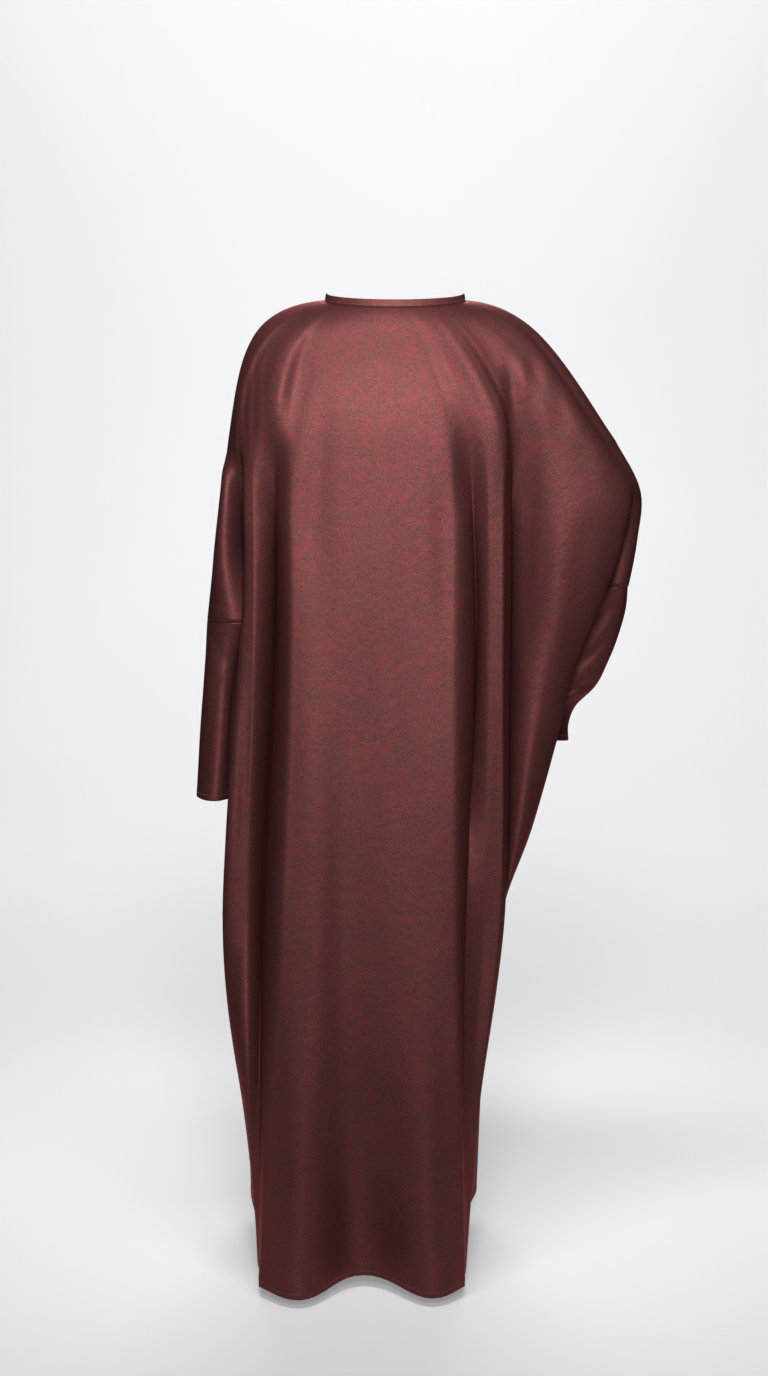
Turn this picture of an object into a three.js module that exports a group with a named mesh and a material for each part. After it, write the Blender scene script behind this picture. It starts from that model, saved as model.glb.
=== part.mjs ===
// A loose, full-length abaya in printed satin, in the hollow form that it takes on a standing figure:
// the left arm hangs beside the body, the right elbow is out and the forearm comes back in front.
// Millimetres, +Z up, the wearer faces -Y and the wearer's left is +X.
// The origin is in the middle of the neck opening, at the side neck points that rest on the shoulders.
import * as THREE from "three";

// Cloth and seams
const WALL = 1.6; // a double-turned satin with its seam allowances
const SEAM_GAP = 0.3;
const LEAST_MITRE = 0.45; // holds back the wall's corner on a very sharp fold

// Heights, measured down from the side neck points
const CHEST = -200;
const RIGHT_ARMHOLE = -415;
const LEFT_ARMHOLE = -460;
const HEM = -1405;
const HEM_TILT = { slope: 0.055, from: -1000 }; // the hem hangs lower at the back than at the front

// Rows of the mesh from the neckline to the hem
const YOKE_ROWS = 7;
const CHEST_ROWS = 5;
const SKIRT_ROWS = 21;

// The neckline: an oval, low at the front, with a narrow standing band
const NECK = {
  halfWidth: 102,
  centreY: -5,
  backDepth: 60,
  frontDepth: 74,
  backDrop: 10,
  frontDrop: 96,
  frontScoop: 1.6, // the power that keeps the front neckline high near the shoulders
};
const BAND = { wall: 1.6, height: 10, foot: 1, lean: 1.5, setback: 1.65 };

// How the yoke leaves the neckline and runs over the shoulder
const YOKE = {
  shoulderSlope: 0.1,
  backSlope: 0.85,
  frontSlope: 1.1,
  shoulderReach: { left: 115, right: 100 },
  centreReach: 55,
  frontCentreShare: 0.45, // of both reaches, under the low front neckline
  centreWidth: 1.5, // the power that narrows the centre's share of the way from shoulder to shoulder
  armReach: 124,
  armLean: { left: -3, right: 17 },
  bodyReach: 66,
};

const SATIN = new THREE.MeshStandardMaterial({ color: 0x7a4544, roughness: 0.42, metalness: 0 });

// Rows of numbers under one line of column names
function table(columns, ...rows) {
  const names = columns.split(" ");
  return rows.map((row) => Object.fromEntries(names.map((name, i) => [name, row[i]])));
}

// The arms inside the panels, from the chest down to the armhole seams. outer is the line over the arm,
// lobe the cloth behind and before the arm, pit the fold between arm and body, which closes at the seam.
const ARMS = {
  left: table(
    "z outerX outerY lobeX lobeBackY lobeFrontY pitX pitBackY pitFrontY",
    [-200, 240, 0, 235, 40, -40, 226, 62, -60],
    [-285, 253, 0, 240, 52, -50, 212, 58, -56],
    [-375, 264, 0, 238, 58, -57, 190, 36, -34],
    [-460, 273, 0, 236, 60, -60, 170, 0, 0],
  ),
  right: table(
    "z outerX outerY lobeX lobeBackY lobeFrontY pitX pitBackY pitFrontY",
    [-200, -318, -4, -311, 18, -30, -302, 30, -42],
    [-275, -357, -16, -353, 4, -42, -346, 18, -54],
    [-345, -354, -40, -343, -4, -78, -322, -4, -66],
    [-415, -343, -58, -324, -10, -104, -299, -26, -26],
  ),
};

// The side seams below the armholes
const SIDES = {
  left: table(
    "z x y",
    [-460, 170, 0], [-620, 165, 0], [-760, 172, 0], [-900, 186, -5],
    [-1030, 194, -12], [-1150, 198, -20], [-1405, 202, -32],
  ),
  right: table(
    "z x y",
    [-415, -299, -26], [-520, -257, -12], [-640, -229, -6], [-760, -198, -4],
    [-900, -146, -10], [-1030, -118, -22], [-1150, -98, -34], [-1405, -84, -44],
  ),
};

// The outermost ridges of the body on either side of the spine, which make its outline
const CORNERS = {
  back: {
    left: table(
      "z x y",
      [-200, 216, 78], [-300, 219, 82], [-430, 223, 86], [-615, 231, 88], [-730, 236, 88],
      [-862, 243, 86], [-950, 245, 84], [-1030, 238, 80], [-1150, 223, 70], [-1405, 200, 40],
    ),
    right: table(
      "z x y",
      [-200, -292, 40], [-275, -336, 30], [-345, -329, 18], [-415, -308, 12], [-520, -264, 12],
      [-640, -235, 12], [-760, -203, 18], [-870, -161, 40], [-1030, -138, 44], [-1150, -116, 34],
      [-1405, -98, 24],
    ),
  },
  front: {
    left: table(
      "z x y",
      [-200, 214, -76], [-300, 218, -82], [-430, 224, -88], [-615, 232, -92], [-760, 236, -98],
      [-900, 240, -112], [-1030, 233, -138], [-1150, 220, -172], [-1405, 214, -236],
    ),
    right: table(
      "z x y",
      [-200, -258, -64], [-275, -284, -70], [-345, -262, -74], [-415, -232, -66], [-520, -190, -76],
      [-640, -162, -96], [-760, -154, -112], [-900, -151, -130], [-1030, -146, -156],
      [-1150, -132, -186], [-1405, -124, -240],
    ),
  },
};

// The folds that fall from the shoulders, as ridge and trough lines from the wearer's left to the right.
// Each has its place at the chest, waist, thigh, shin and hem. round is 1 on a soft line and less on a
// crisp one, and steps is the number of mesh columns to the next line.
const LEVELS = [-200, -480, -880, -1150, -1405];
const FOLDS = {
  back: table(
    "line round steps chestX chestY waistX waistY thighX thighY shinX shinY hemX hemY",
    ["left trough", 0.9, 3, 166, 92, 174, 46, 194, 70, 197, 108, 197, 96],
    ["left ridge", 0.35, 3, 145, 104, 149, 118, 166, 146, 178, 160, 196, 152],
    ["left bulge", 1, 3, 100, 112, 108, 126, 122, 156, 134, 180, 146, 200],
    ["centre trough", 1, 3, 20, 114, 44, 126, 66, 148, 62, 152, 46, 108],
    ["right bulge", 1, 3, -45, 112, -48, 126, -40, 156, -50, 178, -64, 192],
    ["right ridge", 0.4, 2, -80, 108, -84, 121, -90, 146, -97, 160, -100, 150],
    ["inner trough", 0.9, 2, -112, 100, -114, 80, -108, 90, -110, 106, -100, 108],
    ["shoulder ridge", 0.35, 2, -147, 98, -150, 118, -157, 116, -130, 96, -103, 96],
    ["deep trough", 0.8, 3, -168, 76, -169, 28, -163, 82, -124, 70, -100, 60],
    ["wing sheet", 1, 3, -226, 66, -222, 60, -160, 62, -121, 56, -99, 48],
  ),
  front: table(
    "line round steps chestX chestY waistX waistY thighX thighY shinX shinY hemX hemY",
    ["left trough", 1, 3, 178, -88, 184, -60, 194, -82, 196, -134, 194, -192],
    ["left ridge", 0.7, 3, 150, -98, 156, -118, 168, -148, 172, -190, 172, -244],
    ["left hollow", 1, 2, 104, -106, 118, -98, 126, -118, 128, -156, 128, -208],
    ["left bulge", 0.8, 3, 66, -112, 76, -126, 84, -152, 86, -194, 84, -246],
    ["centre hollow", 1, 2, 2, -114, 10, -114, 22, -128, 30, -162, 34, -212],
    ["right bulge", 0.8, 3, -50, -112, -44, -126, -30, -152, -22, -194, -16, -248],
    ["right hollow", 1, 2, -98, -106, -88, -96, -72, -118, -66, -158, -62, -210],
    ["right ridge", 0.7, 3, -142, -96, -124, -114, -112, -146, -98, -190, -90, -244],
    ["right trough", 1, 3, -206, -76, -160, -74, -132, -110, -118, -160, -112, -214],
  ),
};
const HOLLOW_BEFORE_WING = table(
  "z x y",
  [-200, -284, -56], [-275, -320, -64], [-345, -300, -56], [-415, -266, -34], [-520, -222, -26],
  [-640, -190, -30], [-760, -168, -46], [-900, -146, -70], [-1030, -126, -80], [-1150, -112, -92],
  [-1405, -104, -120],
);
// How round the cloth turns on either side of a pit
const PIT = { leftArm: 0.02, rightArm: 0.5, body: 1.8 };
const ARM_STEPS = 4; // mesh columns from the line over the arm to the lobe, and on to the pit
const CORNER_STEPS = 3;

// The sleeves below the armholes: rings of a flattened tube. rise tips a ring, up towards the outside
// (riseOut) or towards the back (riseBack), in mm for each mm.
const SLEEVES = {
  left: table(
    "z x y halfWidth halfDepth riseOut riseBack",
    [-505, 239, 0, 37, 57, 0, 0],
    [-560, 242, 0, 38, 58, 0, 0],
    [-615, 246, 0, 38, 60, 0, 0],
    [-670, 250, 0, 37, 62, 0, 0],
    [-719, 253, 0, 37, 64, 0, 0],
  ),
  right: table(
    "z x y halfWidth halfDepth riseOut riseBack",
    [-452, -305, -70, 37, 46, 0, 0],
    [-495, -293, -78, 38, 47, 0, 0],
    [-536, -278, -85, 39, 47, 0.08, 0.1],
    [-572, -259, -89, 41, 46, 0.1, 0.2],
    [-602, -235, -91, 35, 45, 0.1, 0.2],
    [-626, -223, -90, 36, 46, 0, 0.15],
    [-648, -221, -88, 38, 48, -0.05, 0.1],
  ),
};
// How far a sleeve's inner corner stands off the body's side seam
const CLEAR_OF_BODY = { left: new THREE.Vector3(5, 0, 0), right: new THREE.Vector3(-4, -6, 0) };
const CLEAR_NEXT = 0.4; // share of it in the columns on either side
// A long soft hollow in each sleeve, at an angle from its outer line towards the back
const SLEEVE_HOLLOWS = {
  left: { angle: 1.95, width: 0.75, depth: 11 },
  right: { angle: 1.7, width: 0.6, depth: 7 },
};

const mix = (a, b, t) => a + (b - a) * t;

// The value of a column at a height, on a smooth curve through the table's rows
function at(rows, key, z) {
  const last = rows.length - 1;
  let i = 0;
  while (i < last - 1 && z < rows[i + 1].z) i += 1;
  const slope = (k) => {
    const a = rows[Math.max(k - 1, 0)];
    const b = rows[Math.min(k + 1, last)];
    return (b[key] - a[key]) / (b.z - a.z);
  };
  const a = rows[i];
  const b = rows[i + 1];
  const span = b.z - a.z;
  const t = (z - a.z) / span;
  const u = 1 - t;
  const ends = a[key] * (1 + 2 * t) * u * u + b[key] * t * t * (3 - 2 * t);
  return ends + span * (slope(i) * t * u * u - slope(i + 1) * t * t * u);
}

const place = (rows, z) => ({ x: at(rows, "x", z), y: at(rows, "y", z) });

// A fold's place at a height, from its five levels
function foldPlace(fold, z) {
  const names = ["chest", "waist", "thigh", "shin", "hem"];
  const rows = names.map((name, i) => ({ z: LEVELS[i], x: fold[name + "X"], y: fold[name + "Y"] }));
  return { ...place(rows, z), round: fold.round, steps: fold.steps };
}

// The lines of a panel's section at a height, from the wearer's left to the right. Below an armhole the
// lines over the arm are missing, and the pit becomes the side seam.
function sectionLines(panel, z) {
  const lobeY = panel === "back" ? "lobeBackY" : "lobeFrontY";
  const pitY = panel === "back" ? "pitBackY" : "pitFrontY";
  const turn = panel === "back" ? 1 : -1;
  const across = new THREE.Vector2(-PIT.body, 0); // towards the wearer's right
  const around = {
    left: { arrive: new THREE.Vector2(0, -turn * PIT.leftArm), leave: across },
    right: { arrive: across, leave: new THREE.Vector2(0, turn * PIT.rightArm) },
  };
  const armLines = (side, seam) => {
    const arm = ARMS[side];
    if (z < seam) return [null, null, place(SIDES[side], z)];
    return [
      { x: at(arm, "outerX", z), y: at(arm, "outerY", z) },
      { x: at(arm, "lobeX", z), y: at(arm, lobeY, z) },
      { x: at(arm, "pitX", z), y: at(arm, pitY, z), ...around[side] },
    ];
  };
  const [leftOuter, leftLobe, leftPit] = armLines("left", LEFT_ARMHOLE);
  const [rightOuter, rightLobe, rightPit] = armLines("right", RIGHT_ARMHOLE);
  const corner = CORNERS[panel];
  const folds = FOLDS[panel].map((fold) => foldPlace(fold, z));
  const beforeWing = panel === "front" ? [place(HOLLOW_BEFORE_WING, z)] : [];
  const rightCorner = { ...place(corner.right, z), round: panel === "back" ? 0.7 : 1 };
  return [
    { line: leftOuter, steps: ARM_STEPS },
    { line: leftLobe, steps: ARM_STEPS },
    { line: leftPit, steps: CORNER_STEPS },
    { line: place(corner.left, z), steps: CORNER_STEPS },
    ...folds.map((fold) => ({ line: fold, steps: fold.steps })),
    { line: rightCorner, steps: CORNER_STEPS },
    ...beforeWing.map((line) => ({ line, steps: CORNER_STEPS })),
    { line: rightPit, steps: ARM_STEPS },
    { line: rightLobe, steps: ARM_STEPS },
    { line: rightOuter, steps: 0 },
  ];
}

// The height of a section's point, with the tilt of the hem
function hang(y, z) {
  const drop = Math.max(0, (HEM_TILT.from - z) / (HEM_TILT.from - HEM));
  return z - HEM_TILT.slope * y * drop ** 2;
}

// The mesh columns of a panel's section: Hermite curves through its lines. Missing lines leave null.
function section(panel, z) {
  const entries = sectionLines(panel, z);
  const turn = panel === "back" ? 1 : -1;
  const first = entries.findIndex((entry) => entry.line);
  const last = entries.length - 1 - [...entries].reverse().findIndex((entry) => entry.line);
  const vector = (i) => new THREE.Vector2(entries[i].line.x, entries[i].line.y);
  const tangents = entries.map((entry, i) => {
    if (i < first || i > last) return null;
    if (i === first) return new THREE.Vector2(0, turn);
    if (i === last) return new THREE.Vector2(0, -turn);
    const before = vector(i).sub(vector(i - 1));
    const after = vector(i + 1).sub(vector(i));
    const [a, b] = [before.length(), after.length()];
    return before.multiplyScalar(b / a).add(after.multiplyScalar(a / b)).normalize();
  });
  const columns = [];
  entries.forEach((entry, i) => {
    if (i === entries.length - 1) return;
    const inside = i >= first && i < last;
    for (let k = 0; k < entry.steps; k += 1) {
      if (!inside) {
        columns.push(null);
        continue;
      }
      const [p, q] = [vector(i), vector(i + 1)];
      const reach = p.distanceTo(q);
      const leaving = entry.line.leave ?? tangents[i];
      const arriving = entries[i + 1].line.arrive ?? tangents[i + 1];
      const start = leaving.clone().multiplyScalar(reach * (entry.line.round ?? 1));
      const end = arriving.clone().multiplyScalar(reach * (entries[i + 1].line.round ?? 1));
      const t = k / entry.steps;
      const u = 1 - t;
      p.multiplyScalar((1 + 2 * t) * u * u).add(q.multiplyScalar(t * t * (3 - 2 * t)));
      p.add(start.multiplyScalar(t * u * u)).sub(end.multiplyScalar(t * t * u));
      columns.push(new THREE.Vector3(p.x, p.y, hang(p.y, z)));
    }
  });
  const end = entries[entries.length - 1].line;
  columns.push(end && new THREE.Vector3(end.x, end.y, hang(end.y, z)));
  // the last line before a missing one still has its own column
  if (last < entries.length - 1) {
    const column = entries.slice(0, last).reduce((sum, entry) => sum + entry.steps, 0);
    const { x, y } = entries[last].line;
    columns[column] = new THREE.Vector3(x, y, hang(y, z));
  }
  return columns;
}

// A point of the neckline, at a share of the way from the left side neck point to the right
function neckline(panel, share) {
  const angle = Math.PI * share;
  const along = Math.sin(angle);
  const x = NECK.halfWidth * Math.cos(angle);
  const { centreY, backDepth, frontDepth, backDrop, frontDrop, frontScoop } = NECK;
  return panel === "back"
    ? new THREE.Vector3(x, centreY + backDepth * along, -backDrop * along)
    : new THREE.Vector3(x, centreY - frontDepth * along, -frontDrop * along ** frontScoop);
}

// The share of the way along the neckline at which a point of it lies
function neckShare(point) {
  return Math.acos(THREE.MathUtils.clamp(point.x / NECK.halfWidth, -1, 1)) / Math.PI;
}

// The direction in which the yoke leaves the neckline
function yokeOut(panel, share) {
  const angle = Math.PI * share;
  const side = panel === "back" ? 1 : -1;
  const centreSlope = panel === "back" ? YOKE.backSlope : YOKE.frontSlope;
  const slope = mix(YOKE.shoulderSlope, centreSlope, Math.sin(angle) ** YOKE.centreWidth);
  return new THREE.Vector3(Math.cos(angle), side * Math.sin(angle), -slope).normalize();
}

// The yoke's rows, from the neckline to the chest: one Bezier curve for each column
function yoke(panel) {
  const chest = section(panel, CHEST);
  const step = 10;
  const under = section(panel, CHEST - step);
  const lengths = chest.map((point, i) => (i ? point.distanceTo(chest[i - 1]) : 0));
  const whole = lengths.reduce((sum, length) => sum + length, 0);
  let walked = 0;
  const curves = chest.map((point, i) => {
    walked += lengths[i];
    const share = walked / whole;
    const start = neckline(panel, share);
    const middle = Math.sin(Math.PI * share);
    const shoulderReach = mix(YOKE.shoulderReach.left, YOKE.shoulderReach.right, share);
    const out = yokeOut(panel, share).multiplyScalar(
      mix(shoulderReach, YOKE.centreReach, middle ** YOKE.centreWidth),
    );
    const upReach = mix(YOKE.armReach, YOKE.bodyReach, middle);
    const up = point.clone().sub(under[i]).multiplyScalar(upReach / step);
    up.x += mix(YOKE.armLean.left, YOKE.armLean.right, share) * (1 - middle);
    const drop = panel === "front" ? mix(1, YOKE.frontCentreShare, middle ** (2 * YOKE.centreWidth)) : 1;
    return new THREE.CubicBezierCurve3(
      start,
      start.clone().add(out.multiplyScalar(drop)),
      point.clone().add(up.multiplyScalar(drop)),
      point,
    );
  });
  return Array.from({ length: YOKE_ROWS }, (_, r) => curves.map((curve) => curve.getPoint(r / YOKE_ROWS)));
}

// The heights of the rows below the yoke. Each armhole seam has a row of its own.
function rowHeights() {
  const heights = [];
  for (let i = 0; i < CHEST_ROWS; i += 1) heights.push(mix(CHEST, RIGHT_ARMHOLE, i / CHEST_ROWS));
  heights.push(RIGHT_ARMHOLE);
  for (let i = 0; i <= SKIRT_ROWS; i += 1) heights.push(mix(LEFT_ARMHOLE, HEM, i / SKIRT_ROWS));
  return heights;
}

// The middle surface of a panel, as rows of columns
function panelGrid(panel) {
  return [...yoke(panel), ...rowHeights().map((z) => section(panel, z))];
}

// The closed solid of a cloth wall on both sides of a surface of rows and columns. Null points are left
// out. cross(i, j) gives the directions that point across the seams or edges at a point: the wall's rim
// there is kept square to them, so that two pieces stay parallel at their seam. pin(i, j) gives the wall's
// own direction at a point, or null.
function clothSolid(grid, settings) {
  const { wall = WALL, closed = false, cross = () => [], pin = () => null, flip = false } = settings;
  const columns = grid[0].length;
  const index = grid.map(() => new Array(columns).fill(-1));
  const points = [];
  grid.forEach((row, i) =>
    row.forEach((point, j) => {
      if (!point) return;
      index[i][j] = points.length;
      points.push(point);
    }),
  );
  const faces = [];
  for (let i = 0; i + 1 < grid.length; i += 1) {
    for (let j = 0; j < (closed ? columns : columns - 1); j += 1) {
      const k = (j + 1) % columns;
      const [a, b, c, d] = [index[i][j], index[i + 1][j], index[i + 1][k], index[i][k]];
      if (Math.min(a, b, c, d) < 0) continue;
      const across = points[a].distanceTo(points[c]) <= points[b].distanceTo(points[d]);
      const pair = across ? [[a, b, c], [a, c, d]] : [[a, b, d], [b, c, d]];
      pair.forEach((face) => faces.push(flip ? face.reverse() : face));
    }
  }
  const normals = points.map(() => new THREE.Vector3());
  const around = points.map(() => []);
  faces.forEach((face) => {
    const [a, b, c] = face.map((v) => points[v]);
    const side = b.clone().sub(a).cross(c.clone().sub(a)).normalize();
    face.forEach((v, n) => {
      const ahead = points[face[(n + 1) % 3]].clone().sub(points[v]);
      const behind = points[face[(n + 2) % 3]].clone().sub(points[v]);
      const angle = ahead.angleTo(behind);
      normals[v].addScaledVector(side, angle);
      around[v].push({ side, angle });
    });
  });
  grid.forEach((row, i) =>
    row.forEach((point, j) => {
      if (!point) return;
      const normal = normals[index[i][j]];
      const pinned = pin(i, j);
      if (pinned) {
        normal.copy(pinned);
        return;
      }
      cross(i, j).forEach((direction) => normal.projectOnPlane(direction));
      normal.normalize();
      // the wall keeps its thickness round a sharp fold
      const total = around[index[i][j]].reduce((sum, { angle }) => sum + angle, 0);
      const along = around[index[i][j]].reduce((sum, { side, angle }) => sum + angle * side.dot(normal), 0);
      normal.divideScalar(Math.max(along / total, LEAST_MITRE));
    }),
  );
  const position = [wall / 2, -wall / 2].flatMap((offset) =>
    points.flatMap((point, v) => point.clone().addScaledVector(normals[v], offset).toArray()),
  );
  const inner = points.length;
  const edges = new Map();
  faces.forEach((face) =>
    face.forEach((a, n) => {
      const b = face[(n + 1) % 3];
      edges.set(`${a} ${b}`, [a, b]);
    }),
  );
  const triangles = faces.flatMap(([a, b, c]) => [a, b, c, inner + a, inner + c, inner + b]);
  edges.forEach(([a, b]) => {
    if (!edges.has(`${b} ${a}`)) triangles.push(b, a, inner + a, b, inner + a, inner + b);
  });
  const geometry = new THREE.BufferGeometry();
  geometry.setAttribute("position", new THREE.Float32BufferAttribute(position, 3));
  geometry.setIndex(triangles);
  geometry.computeVertexNormals();
  return geometry;
}

function clothMesh(name, geometry) {
  const mesh = new THREE.Mesh(geometry, SATIN);
  mesh.name = name;
  return mesh;
}

const ALONG_Y = new THREE.Vector3(0, 1, 0);
const ALONG_Z = new THREE.Vector3(0, 0, 1);

// The front or the back: one piece from the line over the left arm to the line over the right arm.
// Its edges are drawn back half a seam's gap from the panel that it is sewn to.
function panel(name) {
  const grid = panelGrid(name);
  const side = name === "back" ? 1 : -1;
  const isSeam = (i, j) => j === 0 || j === grid[i].length - 1 || !grid[i][j - 1] || !grid[i][j + 1];
  const rows = YOKE_ROWS + CHEST_ROWS;
  const pits = [2 * ARM_STEPS, grid[0].length - 1 - 2 * ARM_STEPS];
  const closesPit = (i, j) => (i === rows + 1 && j === pits[0]) || (i === rows && j === pits[1]);
  const isBottom = (i, j) => i === grid.length - 1 || !grid[i + 1][j];
  const seamed = grid.map((row, i) =>
    row.map((point, j) => {
      if (!point) return null;
      const inset = closesPit(i, j) ? SEAM_GAP + WALL : isSeam(i, j) ? SEAM_GAP : 0;
      return point.clone().addScaledVector(ALONG_Y, (side * inset) / 2);
    }),
  );
  const cross = (i, j) => {
    const directions = [];
    if (isSeam(i, j)) directions.push(ALONG_Y);
    if (i > 0 && isBottom(i, j)) directions.push(ALONG_Z);
    if (i === 0) directions.push(yokeOut(name, neckShare(grid[0][j])));
    return directions;
  };
  const outwards = ALONG_Y.clone().multiplyScalar(side);
  const pin = (i, j) => (closesPit(i, j) ? outwards : null);
  return { grid, mesh: clothMesh(name, clothSolid(seamed, { cross, pin, flip: name === "front" })) };
}

// A sleeve: a tube that hangs from the lower edge of the back and front over one arm
function sleeve(side, back, front) {
  const left = side === "left";
  const row = YOKE_ROWS + CHEST_ROWS + (left ? 1 : 0);
  const columns = back.grid[row].length;
  const inner = 2 * ARM_STEPS; // the ring's column at the pit; column 0 is on the line over the arm
  const edge = (panelRow) => {
    const part = left ? panelRow.slice(0, inner + 1) : panelRow.slice(columns - 1 - inner).reverse();
    return part.map((point) => point.clone());
  };
  const top = [...edge(back.grid[row]), ...edge(front.grid[row]).slice(1, -1).reverse()];
  const sign = left ? 1 : -1;
  top[inner].add(CLEAR_OF_BODY[side]);
  [inner - 1, inner + 1].forEach((k) => top[k].addScaledVector(CLEAR_OF_BODY[side], CLEAR_NEXT));
  top.forEach((point) => {
    point.z -= SEAM_GAP;
  });
  const hollow = SLEEVE_HOLLOWS[side];
  const risingRings = 2; // the hollow reaches its full depth at this ring
  const rings = SLEEVES[side].map((ring, r) =>
    top.map((_, k) => {
      const angle = (Math.PI * k) / inner;
      const near = (angle - hollow.angle) / hollow.width;
      const strength = Math.min(1, (r + 1) / risingRings);
      const inset = hollow.depth * strength * Math.exp(-near * near);
      const outward = (ring.halfWidth - inset) * Math.cos(angle);
      const backward = (ring.halfDepth - inset) * Math.sin(angle);
      const rise = ring.riseOut * outward + ring.riseBack * backward;
      return new THREE.Vector3(ring.x + sign * outward, ring.y + backward, ring.z + rise);
    }),
  );
  const grid = [top, ...rings];
  const cross = (i) => (i === 0 ? [ALONG_Z] : []);
  return clothMesh(`sleeve_${side}`, clothSolid(grid, { closed: true, cross, flip: left }));
}

// The neckband: a narrow strip that stands just inside the neckline
function neckband(back, front) {
  const ring = (name, row) =>
    row.map((point) => {
      const inward = yokeOut(name, neckShare(point));
      inward.z = 0;
      inward.normalize().negate();
      return { point, inward };
    });
  const around = [...ring("back", back.grid[0]), ...ring("front", front.grid[0]).slice(1, -1).reverse()];
  const level = (height, lean) =>
    around.map(({ point, inward }) =>
      point.clone().addScaledVector(inward, BAND.setback + lean).addScaledVector(ALONG_Z, height),
    );
  const grid = [level(BAND.height, BAND.lean), level(BAND.height / 2, BAND.lean / 2), level(-BAND.foot, 0)];
  return clothMesh("neckband", clothSolid(grid, { wall: BAND.wall, closed: true }));
}

const back = panel("back");
const front = panel("front");

const abaya = new THREE.Group();
abaya.add(back.mesh, front.mesh, neckband(back, front));
abaya.add(sleeve("left", back, front), sleeve("right", back, front));

export default abaya;
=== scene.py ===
"""A loose satin abaya in the hollow form that it takes on a standing figure, with its print and sewing.

The cloth follows the same section lines as the CAD solids, with more of them, and gets its finer creases
here. Lengths in the tables are millimetres in the frame of the CAD: +Z up, the wearer faces -Y, and the
wearer's left is +X. A grid of cloth has its rows from the neckline down and its columns from the wearer's
left to the right.
"""

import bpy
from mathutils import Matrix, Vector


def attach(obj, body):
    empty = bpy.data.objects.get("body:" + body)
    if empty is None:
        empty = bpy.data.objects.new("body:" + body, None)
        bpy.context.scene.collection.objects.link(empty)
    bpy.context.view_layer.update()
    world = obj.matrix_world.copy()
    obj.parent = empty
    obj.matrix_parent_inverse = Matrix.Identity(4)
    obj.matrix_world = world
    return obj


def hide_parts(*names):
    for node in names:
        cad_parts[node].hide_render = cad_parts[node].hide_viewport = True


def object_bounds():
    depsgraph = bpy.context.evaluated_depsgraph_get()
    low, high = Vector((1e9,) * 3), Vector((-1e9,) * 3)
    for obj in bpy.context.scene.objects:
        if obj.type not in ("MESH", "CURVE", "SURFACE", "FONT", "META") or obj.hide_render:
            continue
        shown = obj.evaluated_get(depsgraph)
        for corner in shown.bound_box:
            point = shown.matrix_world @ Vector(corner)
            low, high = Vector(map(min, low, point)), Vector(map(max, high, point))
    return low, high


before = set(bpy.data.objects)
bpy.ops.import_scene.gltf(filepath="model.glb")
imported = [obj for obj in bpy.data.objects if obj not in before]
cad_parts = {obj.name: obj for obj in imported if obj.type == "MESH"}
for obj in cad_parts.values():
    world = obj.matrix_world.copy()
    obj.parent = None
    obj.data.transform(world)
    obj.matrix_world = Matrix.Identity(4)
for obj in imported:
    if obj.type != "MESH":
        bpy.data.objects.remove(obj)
CAD_BOX = [list(map(float, corner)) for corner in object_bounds()]

import math  # noqa: E402

import bpy  # noqa: E402
import numpy as np  # noqa: E402
from bpy.props import FloatProperty, FloatVectorProperty, IntProperty, PointerProperty  # noqa: E402
from mathutils import Vector  # noqa: E402

bl_info = {
    "name": "Printed satin abaya",
    "version": (1, 0, 0),
    "blender": (4, 5, 0),
    "location": "View3D > Sidebar > Abaya",
    "description": "Builds a draped satin abaya with its print, seams and stitches",
    "category": "Object",
}

MM = 0.001

# Heights, measured down from the side neck points
CHEST, RIGHT_ARMHOLE, LEFT_ARMHOLE, HEM = -200.0, -415.0, -460.0, -1405.0
HEM_TILT_SLOPE, HEM_TILT_FROM = 0.055, -1000.0
LEVELS = (CHEST, -480.0, -880.0, -1150.0, HEM)
PLACES = ("chest", "waist", "thigh", "shin", "hem")

NECK = {
    "half_width": 102.0,
    "centre_y": -5.0,
    "back_depth": 60.0,
    "front_depth": 74.0,
    "back_drop": 10.0,
    "front_drop": 96.0,
    "front_scoop": 1.6,
}
YOKE = {
    "shoulder_slope": 0.1,
    "back_slope": 0.85,
    "front_slope": 1.1,
    "left_reach": 115.0,
    "right_reach": 100.0,
    "centre_reach": 55.0,
    "front_centre_share": 0.45,
    "centre_width": 1.5,
    "arm_reach": 124.0,
    "left_lean": -3.0,
    "right_lean": 17.0,
    "body_reach": 66.0,
}

# The fold between arm and body: how the section runs into it from either side, and where the cloth starts
# to tuck in there
PIT_LEFT_ARM, PIT_RIGHT_ARM, PIT_BODY = 0.02, 0.5, 1.8
PIT_FROM, PIT_FADE = {"left": -175.0, "right": -255.0}, 90.0


def table(columns, *rows):
    """Rows of numbers under one line of column names, as an array for each column."""
    return {name: np.array([row[i] for row in rows], float) for i, name in enumerate(columns.split())}


def named_rows(columns, *rows):
    """Rows under one line of column names, as a dict for each row."""
    return [dict(zip(columns.split(), row)) for row in rows]


# The arms inside the panels, from the chest down to the armhole seams
ARMS = {
    "left": table(
        "z outer_x outer_y lobe_x lobe_back_y lobe_front_y pit_x pit_back_y pit_front_y",
        (-200, 241, 0, 234, 48, -40, 226, 66, -60),
        (-216, 243, 0, 235, 50, -42, 226, 65, -60),
        (-285, 252, 0, 239, 57, -50, 220, 34, -56),
        (-375, 263, 0, 244, 58, -57, 214, 12, -34),
        (-460, 273, 0, 236, 60, -60, 170, 0, 0),
    ),
    "right": table(
        "z outer_x outer_y lobe_x lobe_back_y lobe_front_y pit_x pit_back_y pit_front_y",
        (-200, -318, -4, -311, 18, -30, -302, 30, -42),
        (-275, -357, -16, -353, 4, -42, -346, 18, -54),
        (-345, -354, -40, -343, -4, -78, -322, -4, -66),
        (-415, -343, -58, -324, -10, -104, -299, -26, -26),
    ),
}

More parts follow.
